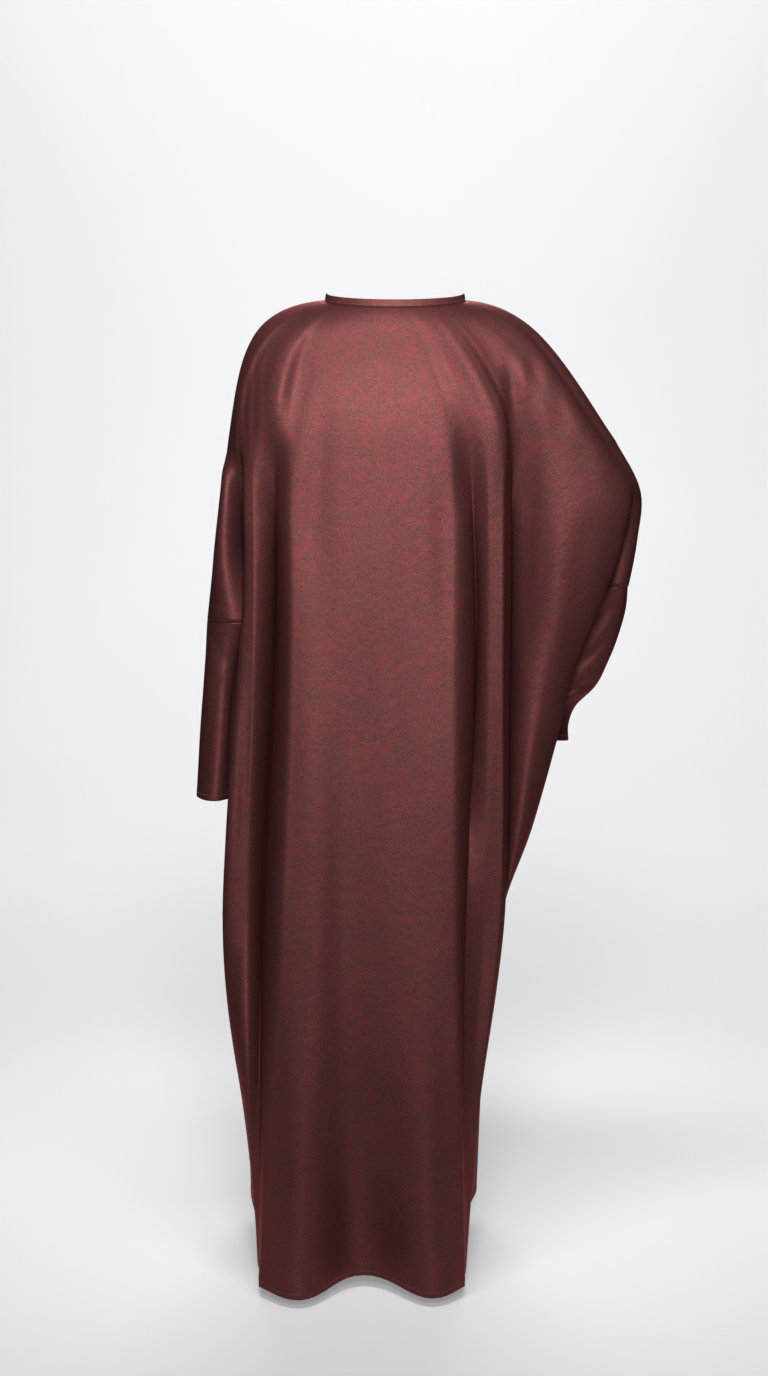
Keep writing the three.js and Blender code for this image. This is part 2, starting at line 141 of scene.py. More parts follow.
# The side seams below the armholes
SIDES = {
    "left": table(
        "z x y",
        (-460, 170, 0), (-620, 165, 0), (-760, 172, 0), (-900, 186, -5),
        (-1030, 194, -12), (-1150, 198, -20), (-1405, 202, -32),
    ),
    "right": table(
        "z x y",
        (-415, -299, -26), (-520, -257, -12), (-640, -229, -6), (-760, -198, -4),
        (-900, -146, -10), (-1030, -118, -22), (-1150, -98, -34), (-1405, -84, -44),
    ),
}

# The outermost ridges of the body on either side of the spine
CORNERS = {
    "back": {
        "left": table(
            "z x y",
            (-200, 214, 79), (-285, 213, 84), (-370, 212, 82), (-480, 217, 82), (-625, 227, 84),
            (-770, 237, 86), (-890, 243, 86), (-1020, 238, 92), (-1160, 220, 98), (-1300, 208, 72),
            (-1405, 200, 40),
        ),
        "right": table(
            "z x y",
            (-200, -292, 50), (-275, -336, 38), (-345, -329, 28), (-415, -308, 22), (-520, -264, 18),
            (-640, -235, 12), (-760, -203, 18), (-870, -161, 40), (-1030, -138, 44), (-1150, -116, 34),
            (-1405, -98, 24),
        ),
    },
    "front": {
        "left": table(
            "z x y",
            (-200, 214, -76), (-300, 218, -82), (-430, 224, -88), (-615, 232, -92), (-760, 236, -98),
            (-900, 240, -112), (-1030, 233, -138), (-1150, 220, -172), (-1405, 214, -236),
        ),
        "right": table(
            "z x y",
            (-200, -258, -64), (-275, -284, -70), (-345, -262, -74), (-415, -232, -66), (-520, -190, -76),
            (-640, -162, -96), (-760, -154, -112), (-900, -151, -130), (-1030, -146, -156),
            (-1150, -132, -186), (-1405, -124, -240),
        ),
    },
}
BEFORE_WING = table(
    "z x y",
    (-200, -284, -56), (-275, -320, -64), (-345, -300, -56), (-415, -266, -34), (-520, -222, -26),
    (-640, -190, -30), (-760, -168, -46), (-900, -146, -70), (-1030, -126, -80), (-1150, -112, -92),
    (-1405, -104, -120),
)

# The folds that fall from the shoulders, from the wearer's left to the right, at five levels. round is 1
# on a wide soft line and less on a narrow one. The form is soft, or a crisp ridge that rolls over into
# the trough beside it, or an edge that is straight on both sides, or a trough with a narrow bottom.
FOLDS = {
    "back": named_rows(
        "line form round chest_x chest_y waist_x waist_y thigh_x thigh_y shin_x shin_y hem_x hem_y",
        ("left lobe", "ridge", 0.8, 201, 89, 202, 88, 214, 90, 210, 128, 202, 66),
        ("left trough", "trough", 0.3, 170, 98, 173, 18, 193, 46, 196, 122, 198, 92),
        ("left ridge", "ridge", 0.35, 147, 108, 147, 123, 160, 151, 176, 164, 196, 152),
        ("left bulge", "soft", 1, 100, 112, 108, 126, 122, 156, 134, 180, 146, 200),
        ("centre trough", "soft", 1, 20, 114, 44, 126, 66, 148, 62, 152, 46, 108),
        ("right bulge", "soft", 1, -45, 112, -46, 126, -38, 156, -46, 178, -64, 192),
        ("right ridge", "ridge", 0.35, -80, 110, -82, 125, -85, 151, -91, 165, -100, 150),
        ("inner trough", "trough", 0.35, -106, 101, -117, 50, -102, 98, -98, 134, -101, 112),
        ("shoulder fold", "soft", 0.6, -130, 103, -132, 90, -128, 88, -110, 118, -103, 98),
        ("shoulder ridge", "edge", 0.15, -153, 98, -153, 92, -153, 84, -122, 112, -104, 88),
        ("deep trough", "trough", 0.2, -167, 68, -168, -2, -160, 56, -124, 80, -102, 66),
        ("wing sheet", "soft", 1, -222, 68, -214, 56, -158, 54, -121, 56, -99, 48),
    ),
    "front": named_rows(
        "line form round chest_x chest_y waist_x waist_y thigh_x thigh_y shin_x shin_y hem_x hem_y",
        ("left trough", "soft", 1, 178, -88, 184, -60, 194, -82, 196, -134, 194, -192),
        ("left ridge", "soft", 0.7, 150, -98, 156, -118, 168, -148, 172, -190, 172, -244),
        ("left hollow", "soft", 1, 104, -106, 118, -98, 126, -118, 128, -156, 128, -208),
        ("left bulge", "soft", 0.8, 66, -112, 76, -126, 84, -152, 86, -194, 84, -246),
        ("centre hollow", "soft", 1, 2, -114, 10, -114, 22, -128, 30, -162, 34, -212),
        ("right bulge", "soft", 0.8, -50, -112, -44, -126, -30, -152, -22, -194, -16, -248),
        ("right hollow", "soft", 1, -98, -106, -88, -96, -72, -118, -66, -158, -62, -210),
        ("right ridge", "soft", 0.7, -142, -96, -124, -114, -112, -146, -98, -190, -90, -244),
        ("right trough", "soft", 1, -206, -76, -160, -74, -132, -110, -118, -160, -112, -214),
    ),
}
CENTRE_LINE = {"back": "centre trough", "front": "centre hollow"}

# The sleeves below the armholes: rings of a flattened tube
SLEEVES = {
    "left": table(
        "z x y half_width half_depth rise_out rise_back",
        (-505, 239, 0, 37, 57, 0, 0),
        (-560, 242, 0, 38, 58, 0, 0),
        (-615, 246, 0, 38, 60, 0, 0),
        (-670, 250, 0, 37, 62, 0, 0),
        (-719, 253, 0, 37, 64, 0, 0),
    ),
    "right": table(
        "z x y half_width half_depth rise_out rise_back",
        (-452, -305, -70, 37, 46, 0, 0),
        (-495, -293, -78, 38, 47, 0, 0),
        (-536, -278, -85, 39, 47, 0.08, 0.1),
        (-572, -259, -89, 41, 46, 0.1, 0.2),
        (-602, -235, -91, 35, 45, 0.1, 0.2),
        (-626, -223, -90, 36, 46, 0, 0.15),
        (-648, -221, -88, 38, 48, -0.05, 0.1),
    ),
}
SLEEVE_HOLLOWS = {
    "left": {"angle": 2.1, "width": 0.7, "depth": 19.0},
    "right": {"angle": 1.7, "width": 0.6, "depth": 7.0},
}

# How far a sleeve's top is moved off the body at its innermost point. This fades by CLEAR_FADE for each
# column of the CAD's sleeve, which stands for COLUMNS_PER_CAD columns here, and ends after CLEAR_COLUMNS.
CLEAR_OF_BODY = {"left": (5.0, 0.0, 0.0), "right": (-4.0, -6.0, 0.0)}
CLEAR_FADE, COLUMNS_PER_CAD, CLEAR_COLUMNS = 0.6, 3.25, 6

# Creases placed one by one on the back and front: each is a soft line from one place to another, a trough
# where its depth is above 0 and a ridge where it is below. bend bows the line towards the wearer's left.
CREASES = {
    "back": named_rows(
        "line x z end_x end_z bend width depth",
        ("shoulder ridge root", -146, -60, -152, -180, 1, 9, -1.6),
        ("behind shoulder ridge", -164, -80, -168, -215, 1, 7, 3.0),
        ("shoulder blade ridge", -178, -60, -190, -160, 4, 9, -1.2),
        ("shoulder blade trough", -194, -66, -206, -170, 4, 10, 1.2),
        ("upper arm ridge", -210, -78, -232, -160, 5, 10, -1.1),
        ("upper arm trough", -226, -104, -256, -200, 6, 11, 1.2),
        ("elbow spread 1", -262, -150, -300, -330, 8, 14, 1.4),
        ("elbow spread 2", -290, -190, -322, -330, 6, 11, -1.2),
        ("left wrinkle 1", 209, -66, 214, -250, 1, 4.7, 0.6),
        ("left wrinkle 2", 203, -60, 207, -230, 1, 4.5, -0.5),
        ("left wrinkle 3", 197, -58, 201, -260, 1, 4.9, 0.6),
        ("left wrinkle 4", 189, -56, 192, -210, 1, 5.1, -0.5),
        ("left wrinkle 5", 181, -62, 184, -240, 1, 6.0, 0.5),
        ("left pull 1", 120, -70, 146, -260, 5, 12, 1.6),
        ("left pull 2", 92, -120, 120, -420, 7, 20, 1.8),
        ("right pull 1", -84, -110, -98, -330, -5, 16, 2.2),
        ("right pull 2", -60, -200, -66, -520, -4, 15, 1.6),
        ("back pull", 26, -60, 8, -180, 3, 12, 0.8),
        ("panel soft 1", 60, -420, 70, -1000, 6, 26, 2.4),
        ("panel soft 2", -6, -520, -12, -1250, -6, 24, 2.6),
        ("panel soft 3", 112, -640, 128, -1300, 5, 18, 1.8),
        ("skirt soft 4", -62, -900, -76, -1400, -4, 16, 2.0),
        ("wing soft 1", -196, -230, -196, -560, 6, 10, 2.4),
        ("wing soft 2", -246, -260, -238, -540, 8, 12, -2.6),
        ("wing soft 3", -284, -290, -270, -470, 6, 9, 2.6),
        ("wing edge", -212, -560, -172, -820, 4, 8, -1.8),
        ("left lobe 1", 206, -520, 222, -840, 3, 7, 1.6),
        ("left lobe 2", 214, -880, 222, -1130, 3, 8, -1.6),
    ),
    "front": named_rows(
        "line x z end_x end_z bend width depth",
        ("left shoulder pull 1", 122, -60, 150, -260, 6, 9, 2.4),
        ("left shoulder pull 2", 146, -66, 178, -250, 6, 7, -2.2),
        ("left shoulder pull 3", 92, -110, 116, -330, 5, 12, 2.0),
        ("left wrinkle 1", 206, -70, 212, -240, 1, 4.9, 0.5),
        ("left wrinkle 2", 196, -64, 201, -220, 1, 4.9, -0.5),
        ("right shoulder pull 1", -128, -56, -168, -230, -6, 9, 2.6),
        ("right shoulder pull 2", -160, -62, -205, -220, -6, 8, -2.4),
        ("right shoulder pull 3", -190, -80, -248, -230, -8, 10, 2.6),
        ("right shoulder pull 4", -98, -110, -128, -330, -5, 13, 2.0),
        ("elbow spread 1", -228, -200, -292, -330, -8, 10, -2.4),
        ("elbow spread 2", -252, -240, -276, -400, -5, 9, 2.4),
        ("bust pull left", 66, -150, 88, -430, 6, 18, 2.0),
        ("bust pull right", -58, -150, -74, -430, -6, 18, 2.0),
        ("panel soft 1", 36, -420, 52, -1050, 6, 16, 2.2),
        ("panel soft 2", -20, -520, -4, -1200, -5, 15, -2.0),
        ("panel soft 3", 96, -560, 106, -1250, 5, 12, 2.0),
        ("panel soft 4", -98, -640, -80, -1300, -5, 12, 2.0),
        ("panel soft 5", 142, -700, 150, -1320, 4, 10, -1.8),
    ),
}

# Creases of the sleeves: around in degrees from the outer line through the back, down in mm from the seam
SLEEVE_CREASES = {
    "left": named_rows(
        "line around down end_around end_down width depth",
        ("inner fold", 128, 4, 118, 225, 14, 2.8),
        ("back fold", 84, 6, 74, 190, 10, -1.5),
        ("elbow pucker 1", 20, 10, 78, 40, 9, 1.5),
        ("elbow pucker 2", 46, 40, 104, 66, 10, 1.4),
        ("forearm soft", 36, 90, 52, 250, 14, 1.3),
        ("front fold", 250, 12, 262, 210, 12, 2.1),
        ("front pucker", 290, 24, 236, 60, 10, 1.4),
    ),
    "right": named_rows(
        "line around down end_around end_down width depth",
        ("elbow fold 1", 62, 6, 118, 96, 12, 2.9),
        ("elbow fold 2", 40, 70, 112, 150, 12, 3.1),
        ("elbow ridge", 54, 40, 104, 128, 9, -2.0),
        ("wrist fold", 8, 168, 112, 196, 9, 3.2),
        ("wrist ridge", 14, 184, 104, 214, 8, -1.8),
        ("under fold", 236, 30, 262, 190, 14, 2.5),
        ("front pucker", 300, 40, 252, 90, 12, 1.7),
    ),
}


# Curves and sections


def mix(a, b, t):
    """The value at a share t of the way from a to b."""
    return a + (b - a) * t


def at(rows, key, z):
    """The value of a column at a height, on a smooth curve through the table's rows."""
    heights, values = rows["z"], rows[key]
    last = len(heights) - 1
    i = int(np.clip(np.searchsorted(-heights, -z, side="left") - 1, 0, last - 1))

    def slope(k):
        lo, hi = max(k - 1, 0), min(k + 1, last)
        return (values[hi] - values[lo]) / (heights[hi] - heights[lo])

    span = heights[i + 1] - heights[i]
    t = (z - heights[i]) / span
    u = 1 - t
    ends = values[i] * (1 + 2 * t) * u * u + values[i + 1] * t * t * (3 - 2 * t)
    return ends + span * (slope(i) * t * u * u - slope(i + 1) * t * t * u)


def fold_table(fold):
    """A fold's places at the five levels, as a table of heights."""
    x, y = ([fold[f"{place}_{axis}"] for place in PLACES] for axis in "xy")
    return {"z": np.array(LEVELS), "x": np.array(x, float), "y": np.array(y, float)}


DIVE, ROLL = (0.25, 1.7), (1.5, 0.15)  # how a wall ends in a trough and at a ridge: straight is (1, 1)
CRISP_FADE = 110.0  # the way down from the chest over which the folds get crisp
FULL_RISE = 30.0  # the rise of a wall that takes these forms fully
CORNER_ROUND = {"back": 0.7, "front": 1.0}  # of the right corner
ARM_FINE = 13  # columns from the line over an arm to the lobe, and on to the pit
BODY_FINE = 10  # columns from one fold line to the next
SPANS_OVER_ARM = 2
ARM_COLUMNS = SPANS_OVER_ARM * ARM_FINE
LINES_BEFORE_FOLDS = 4  # three over the left arm, and the left corner


def section_lines(panel, z):
    """The lines of a panel's section at a height, from the wearer's left to the right."""
    turn = 1.0 if panel == "back" else -1.0
    lobe_y, pit_y = f"lobe_{panel}_y", f"pit_{panel}_y"
    across = (-PIT_BODY, 0.0)

    def arm_lines(side, seam):
        if z < seam:
            return [None, None, {"at": (at(SIDES[side], "x", z), at(SIDES[side], "y", z))}]
        arm = ARMS[side]
        pit = {"at": (at(arm, "pit_x", z), at(arm, pit_y, z))}
        pit["tucked"] = float(np.clip((PIT_FROM[side] - z) / PIT_FADE, 0, 1))
        if side == "left":
            pit.update(arrive=(0.0, -turn * PIT_LEFT_ARM), leave=across)
        else:
            pit.update(arrive=across, leave=(0.0, turn * PIT_RIGHT_ARM))
        return [
            {"at": (at(arm, "outer_x", z), at(arm, "outer_y", z))},
            {"at": (at(arm, "lobe_x", z), at(arm, lobe_y, z))},
            pit,
        ]

    def spot(rows, roundness=1.0, form="soft"):
        return {"at": (at(rows, "x", z), at(rows, "y", z)), "round": roundness, "form": form}

    left = arm_lines("left", LEFT_ARMHOLE) + [spot(CORNERS[panel]["left"])]
    folds = [spot(fold_table(fold), fold["round"], fold["form"]) for fold in FOLDS[panel]]
    right = [spot(CORNERS[panel]["right"], CORNER_ROUND[panel])]
    if panel == "front":
        right.append(spot(BEFORE_WING))
    return left + folds + right + arm_lines("right", RIGHT_ARMHOLE)[::-1]


def span_steps(panel):
    """The number of columns in each span between two lines of a panel."""
    corners = 2 if panel == "back" else 3
    over_arm = [ARM_FINE] * SPANS_OVER_ARM
    return over_arm + [BODY_FINE] * (len(FOLDS[panel]) + corners + 1) + over_arm


def hang(y, z):
    """The height of a section's point, with the tilt of the hem."""
    drop = max(0.0, (HEM_TILT_FROM - z) / (HEM_TILT_FROM - HEM))
    return z - HEM_TILT_SLOPE * y * drop * drop


def line_tangent(line, end, smooth, crisp):
    """The tangent of a section on one side of a line, for a span of unit length."""
    tucked = line.get("tucked", 0.0)
    return mix(smooth, np.array(line.get(end, smooth)), tucked) * mix(1.0, line.get("round", 1.0), crisp)


def formed(tangent, way, form, rise):
    """A span's tangent at a line of some form, from which the other end of the span rises."""
    if form == "trough":
        return mix(tangent, way * DIVE, np.clip(rise / FULL_RISE, 0, 1))
    if form == "ridge":
        return mix(way, way * ROLL, np.clip(-rise / FULL_RISE, 0, 1))
    if form == "edge":
        return way
    return tangent


def section(panel, z):
    """The columns of a panel's section at a height, as rows of x, y, z. Missing columns are NaN."""
    lines = section_lines(panel, z)
    turn = 1.0 if panel == "back" else -1.0
    there = [i for i, line in enumerate(lines) if line]
    first, last = there[0], there[-1]
    places = {i: np.array(lines[i]["at"]) for i in there}
    tangents = {first: np.array((0.0, turn)), last: np.array((0.0, -turn))}
    for i in there[1:-1]:
        before, after = places[i] - places[i - 1], places[i + 1] - places[i]
        a, b = np.linalg.norm(before), np.linalg.norm(after)
        tangent = before * (b / a) + after * (a / b)
        tangents[i] = tangent / np.linalg.norm(tangent)
    crisp = float(np.clip((CHEST - z) / CRISP_FADE, 0, 1))
    steps = span_steps(panel)
    columns = np.full((sum(steps) + 1, 3), np.nan)
    start = 0
    for i, count in enumerate(steps):
        if first <= i < last:
            way = places[i + 1] - places[i]
            reach = np.linalg.norm(way)
            leave = line_tangent(lines[i], "leave", tangents[i], crisp) * reach
            arrive = line_tangent(lines[i + 1], "arrive", tangents[i + 1], crisp) * reach
            leave = mix(leave, formed(leave, way, lines[i].get("form"), turn * way[1]), crisp)
            arrive = mix(arrive, formed(arrive, way, lines[i + 1].get("form"), -turn * way[1]), crisp)
            t = (np.arange(count + 1) / count)[:, None]
            u = 1 - t
            curve = places[i] * (1 + 2 * t) * u * u + places[i + 1] * t * t * (3 - 2 * t)
            curve = curve + leave * t * u * u - arrive * t * t * u
            columns[start : start + count + 1, :2] = curve
            columns[start : start + count + 1, 2] = [hang(y, z) for y in curve[:, 1]]
        start += count
    return columns


def neckline(panel, share):
    """Points of the neckline, at shares of the way from the left side neck point to the right."""
    across, along = np.cos(np.pi * share), np.sin(np.pi * share)
    x = NECK["half_width"] * across
    if panel == "back":
        y, z = NECK["centre_y"] + NECK["back_depth"] * along, -NECK["back_drop"] * along
    else:
        y = NECK["centre_y"] - NECK["front_depth"] * along
        z = -NECK["front_drop"] * along ** NECK["front_scoop"]
    return np.stack([x, y, z], -1)


def unit(v):
    """Vectors made one long."""
    return v / np.linalg.norm(v, axis=-1, keepdims=True)


def yoke_out(panel, share):
    """The directions in which the yoke leaves the neckline."""
    side = 1.0 if panel == "back" else -1.0
    centre_slope = YOKE["back_slope"] if panel == "back" else YOKE["front_slope"]
    slope = mix(YOKE["shoulder_slope"], centre_slope, np.sin(np.pi * share) ** YOKE["centre_width"])
    return unit(np.stack([np.cos(np.pi * share), side * np.sin(np.pi * share), -slope], -1))


def chest_share(chest):
    """How far round the chest each column is, from 0 to 1."""
    lengths = np.linalg.norm(np.diff(chest, axis=0), axis=1)
    walked = np.concatenate([[0.0], np.cumsum(lengths)])
    return walked / walked[-1]


def yoke(panel, count):
    """The rows from the neckline to just above the chest: a cubic curve for each column."""
    step = 10.0
    chest, under = section(panel, CHEST), section(panel, CHEST - step)
    share = np.clip(chest_share(chest), 0.0, 1.0)
    middle = np.clip(np.sin(np.pi * share), 0.0, 1.0)[:, None]
    column = share[:, None]
    p0 = neckline(panel, share)
    side_reach = mix(YOKE["left_reach"], YOKE["right_reach"], column)
    reach = mix(side_reach, YOKE["centre_reach"], middle ** YOKE["centre_width"])
    up = (chest - under) * mix(YOKE["arm_reach"], YOKE["body_reach"], middle) / step
    up[:, :1] += mix(YOKE["left_lean"], YOKE["right_lean"], column) * (1 - middle)
    drop = 1.0
    if panel == "front":
        drop = mix(1.0, YOKE["front_centre_share"], middle ** (2 * YOKE["centre_width"]))
    p1 = p0 + yoke_out(panel, share) * reach * drop
    p2 = chest + up * drop
    rows = []
    for t in np.arange(count) / count:
        u = 1 - t
        rows.append(p0 * u**3 + p1 * 3 * t * u * u + p2 * 3 * t * t * u + chest * t**3)
    return rows


YOKE_FINE, CHEST_FINE, ELBOW_FINE, SKIRT_FINE = 34, 30, 7, 122
RIGHT_SEAM_ROW = YOKE_FINE + CHEST_FINE
LEFT_SEAM_ROW = RIGHT_SEAM_ROW + ELBOW_FINE


def panel_grid(panel):
    """The middle surface of a panel in mm. Missing points are NaN."""
    heights = [mix(CHEST, RIGHT_ARMHOLE, i / CHEST_FINE) for i in range(CHEST_FINE)]
    heights += [mix(RIGHT_ARMHOLE, LEFT_ARMHOLE, i / ELBOW_FINE) for i in range(ELBOW_FINE)]
    heights += [mix(LEFT_ARMHOLE, HEM, i / SKIRT_FINE) for i in range(SKIRT_FINE + 1)]
    return np.array(yoke(panel, YOKE_FINE) + [section(panel, z) for z in heights])


# Surfaces as grids


def grid_normals(grid, flip=1.0):
    """Unit normals of a grid, from its neighbours that are there."""

    def along(axis):
        ahead = np.roll(grid, -1, axis)
        behind = np.roll(grid, 1, axis)
        edge = [slice(None)] * 3
        edge[axis] = -1
        ahead[tuple(edge)] = np.nan
        edge[axis] = 0
        behind[tuple(edge)] = np.nan
        forward, backward = ahead - grid, grid - behind
        middle = np.where(np.isnan(backward), forward, (forward + backward) / 2)
        return np.where(np.isnan(forward), backward, middle)

    normal = np.cross(along(0), along(1)) * flip
    size, least = np.linalg.norm(normal, axis=-1, keepdims=True), 1e-9
    return np.where(size > least, normal / np.maximum(size, least), 0.0)


def bowed_distance(x, z, start, end, bend):
    """The distance from places to a bowed line, and how far along it they are."""
    start, end = np.array(start, float), np.array(end, float)
    way = end - start
    length = np.linalg.norm(way)
    along = way / length
    side = np.array((along[1], -along[0]))
    dx, dz = x - start[0], z - start[1]
    t = (dx * along[0] + dz * along[1]) / length
    inside = np.clip(t, 0, 1)
    bow = bend * 4 * inside * (1 - inside) * np.sign(side[0] or 1.0)
    return dx * side[0] + dz * side[1] - bow, t


def taper(t, ends=0.35):
    """1 along the middle of a crease, and softly down to 0 at its ends."""
    inside = np.clip(np.minimum(t, 1 - t) / ends, 0, 1)
    return inside * inside * (3 - 2 * inside)


def unevenness(x, y, z):
    """A slow hand-made waviness, in mm."""
    return (
        0.55 * np.sin(x / 17.0 + 0.8 * np.sin(z / 140.0) + y / 41.0)
        + 0.45 * np.sin(x / 9.5 - z / 210.0 + 1.3)
        + 0.5 * np.sin(x / 31.0 + z / 95.0 + 2.1)
    )


def press_of(crease, across, t):
    """How far a crease presses in, at distances from its line and places along it."""
    return crease["depth"] * np.exp(-((across / crease["width"]) ** 2)) * taper(t)


UNEVEN_FROM, UNEVEN_FADE = -60.0, 300.0  # where the waviness starts, and the way down to its full height
CALM_HEM, CALM_SHARE = 60.0, 0.35  # the height above the hem below which it calms, and what is left there


def crease_depth(panel, grid):
    """How far each point of a panel is pressed in by its creases, in mm."""
    x, y, z = grid[..., 0], grid[..., 1], grid[..., 2]
    depth = np.zeros(x.shape)
    for crease in CREASES[panel]:
        start, end = (crease["x"], crease["z"]), (crease["end_x"], crease["end_z"])
        depth += press_of(crease, *bowed_distance(x, z, start, end, crease["bend"]))
    begun = np.clip((UNEVEN_FROM - z) / UNEVEN_FADE, 0, 1)
    return depth + unevenness(x, y, z) * (begun * np.clip((z - HEM) / CALM_HEM + CALM_SHARE, 0, 1))


ARM_SEAM_DIP, SIDE_SEAM_DIP, ELBOW_SEAM_DIP = 0.3, 0.6, 0.35
SEAM_COLUMNS, SEAM_REACH = 7, 3.2  # the columns beside a seam that dip, and how far in mm
ELBOW_ROWS = (1.0, 0.45, 0.1)  # shares of the dip, from the elbow seam upward


def seam_dip(grid):
    """The cloth rolls in a little at its seams, with a small pucker along them, in mm."""
    there = ~np.isnan(grid[..., 0])
    rows, columns = there.shape
    dip = np.zeros(there.shape)
    for i in range(rows):
        js = np.flatnonzero(there[i])
        seam = ARM_SEAM_DIP if grid[i, js[0], 2] > CHEST else SIDE_SEAM_DIP
        for j, towards in ((js[0], 1), (js[-1], -1)):
            walked = 0.0
            pucker = 0.75 + 0.25 * math.sin(grid[i, j, 2] / 6.1 + 0.9 * math.sin(grid[i, j, 2] / 23.0))
            for k in range(SEAM_COLUMNS):
                col = j + towards * k
                if k:
                    walked += np.linalg.norm(grid[i, col] - grid[i, col - towards])
                dip[i, col] += seam * pucker * math.exp(-((walked / SEAM_REACH) ** 2))
    left_arm, right_arm = slice(0, ARM_COLUMNS), slice(columns - ARM_COLUMNS, columns)
    for row, arm in ((LEFT_SEAM_ROW, left_arm), (RIGHT_SEAM_ROW, right_arm)):
        for k, share in enumerate(ELBOW_ROWS):
            dip[row - k, arm] += ELBOW_SEAM_DIP * share
    return dip


SMOOTHED = 12  # columns on either side that the cloth's height is averaged over
PRINT_START = {  # where each piece lies on the printed cloth, in metres
    "back": (0.0, 0.0),
    "front": (3.1, 0.7),
    "sleeve_left": (1.7, 0.37),
    "sleeve_right": (5.3, 0.37),
    "neckband": (7.9, 0.11),
}


def cloth_uv(grid, centre):
    """Where each point lies on the flat cloth, in metres: along its row, and down its column."""
    step = np.nan_to_num(np.linalg.norm(np.diff(grid, axis=1), axis=-1))
    u = np.concatenate([np.zeros((grid.shape[0], 1)), np.cumsum(step, axis=1)], axis=1)
    u = u - u[:, centre : centre + 1]
    above = np.nan_to_num(np.linalg.norm(np.diff(grid[: YOKE_FINE + 1], axis=0), axis=-1))
    rise = np.cumsum(above[::-1], axis=0)[::-1]
    below = np.nanmean(grid[YOKE_FINE:, :, 2], axis=1)[:, None] * np.ones((1, grid.shape[1]))
    v = np.concatenate([CHEST + rise, below])
    window = np.ones(2 * SMOOTHED + 1) / (2 * SMOOTHED + 1)
    smooth = [np.convolve(np.pad(row, SMOOTHED, mode="edge"), window, mode="valid") for row in v]
    return np.stack([u, np.array(smooth)], -1) * MM


TURNED_PLY = 1.35  # a turned hem's ply, in walls


def turned_edge(grid, normals, width, wall):
    """Rows past a grid's last for its narrow hem: over the edge, and up again on the inside."""
    edge, inward = grid[-1], -normals[-1]
    up = unit(grid[-2] - edge)
    turn = ((0.45, -0.35), (1.0, 0.1), (1.15, 1.2), (1.15, width / wall))
    return np.array([edge + inward * into * wall * TURNED_PLY + up * rise * wall for into, rise in turn])


def turned_uv(edge_uv, count):
    """The turned rows' places on the cloth, just below those of the edge."""
    first, step = 0.0004, 0.0015
    return np.array([edge_uv + (0.0, -first - step * k) for k in range(count)])


def mesh_from_grid(name, grid, uv, material, wall, closed=False, flip=False):
    """A smooth mesh of a grid in mm, with its cloth UVs, and a Solidify wall round its middle."""
    rows, columns = grid.shape[:2]
    index = np.full((rows, columns), -1)
    there = ~np.isnan(grid[..., 0])
    index[there] = np.arange(there.sum())
    coords = grid[there] * MM
    flat_uv = uv[there]
    faces = []
    for i in range(rows - 1):
        for j in range(columns if closed else columns - 1):
            k = (j + 1) % columns
            quad = (index[i, j], index[i + 1, j], index[i + 1, k], index[i, k])
            if min(quad) >= 0:
                faces.append(quad[::-1] if flip else quad)
    mesh = bpy.data.meshes.new(name)
    mesh.from_pydata(coords.tolist(), [], faces)
    layer = mesh.uv_layers.new(name="cloth")
    loops = np.empty(len(mesh.loops), dtype=np.int64)
    mesh.loops.foreach_get("vertex_index", loops)
    layer.data.foreach_set("uv", flat_uv[loops].astype(np.float32).ravel())
    mesh.materials.append(material)
    mesh.shade_smooth()
    mesh.validate()
    piece = bpy.data.objects.new(name, mesh)
    bpy.context.scene.collection.objects.link(piece)
    if wall:
        solid = piece.modifiers.new("wall", "SOLIDIFY")
        solid.thickness = wall * MM
        solid.offset = 0.0
        bake(piece)
    return piece


def bake(piece):
    """Turns the piece's evaluated shape into its plain mesh and drops its modifiers."""
    graph = bpy.context.evaluated_depsgraph_get()
    shape = piece.evaluated_get(graph)
    made = bpy.data.meshes.new_from_object(shape, preserve_all_data_layers=True, depsgraph=graph)
    made.name = piece.name
    piece.modifiers.clear()
    piece.data = made


# Node helpers


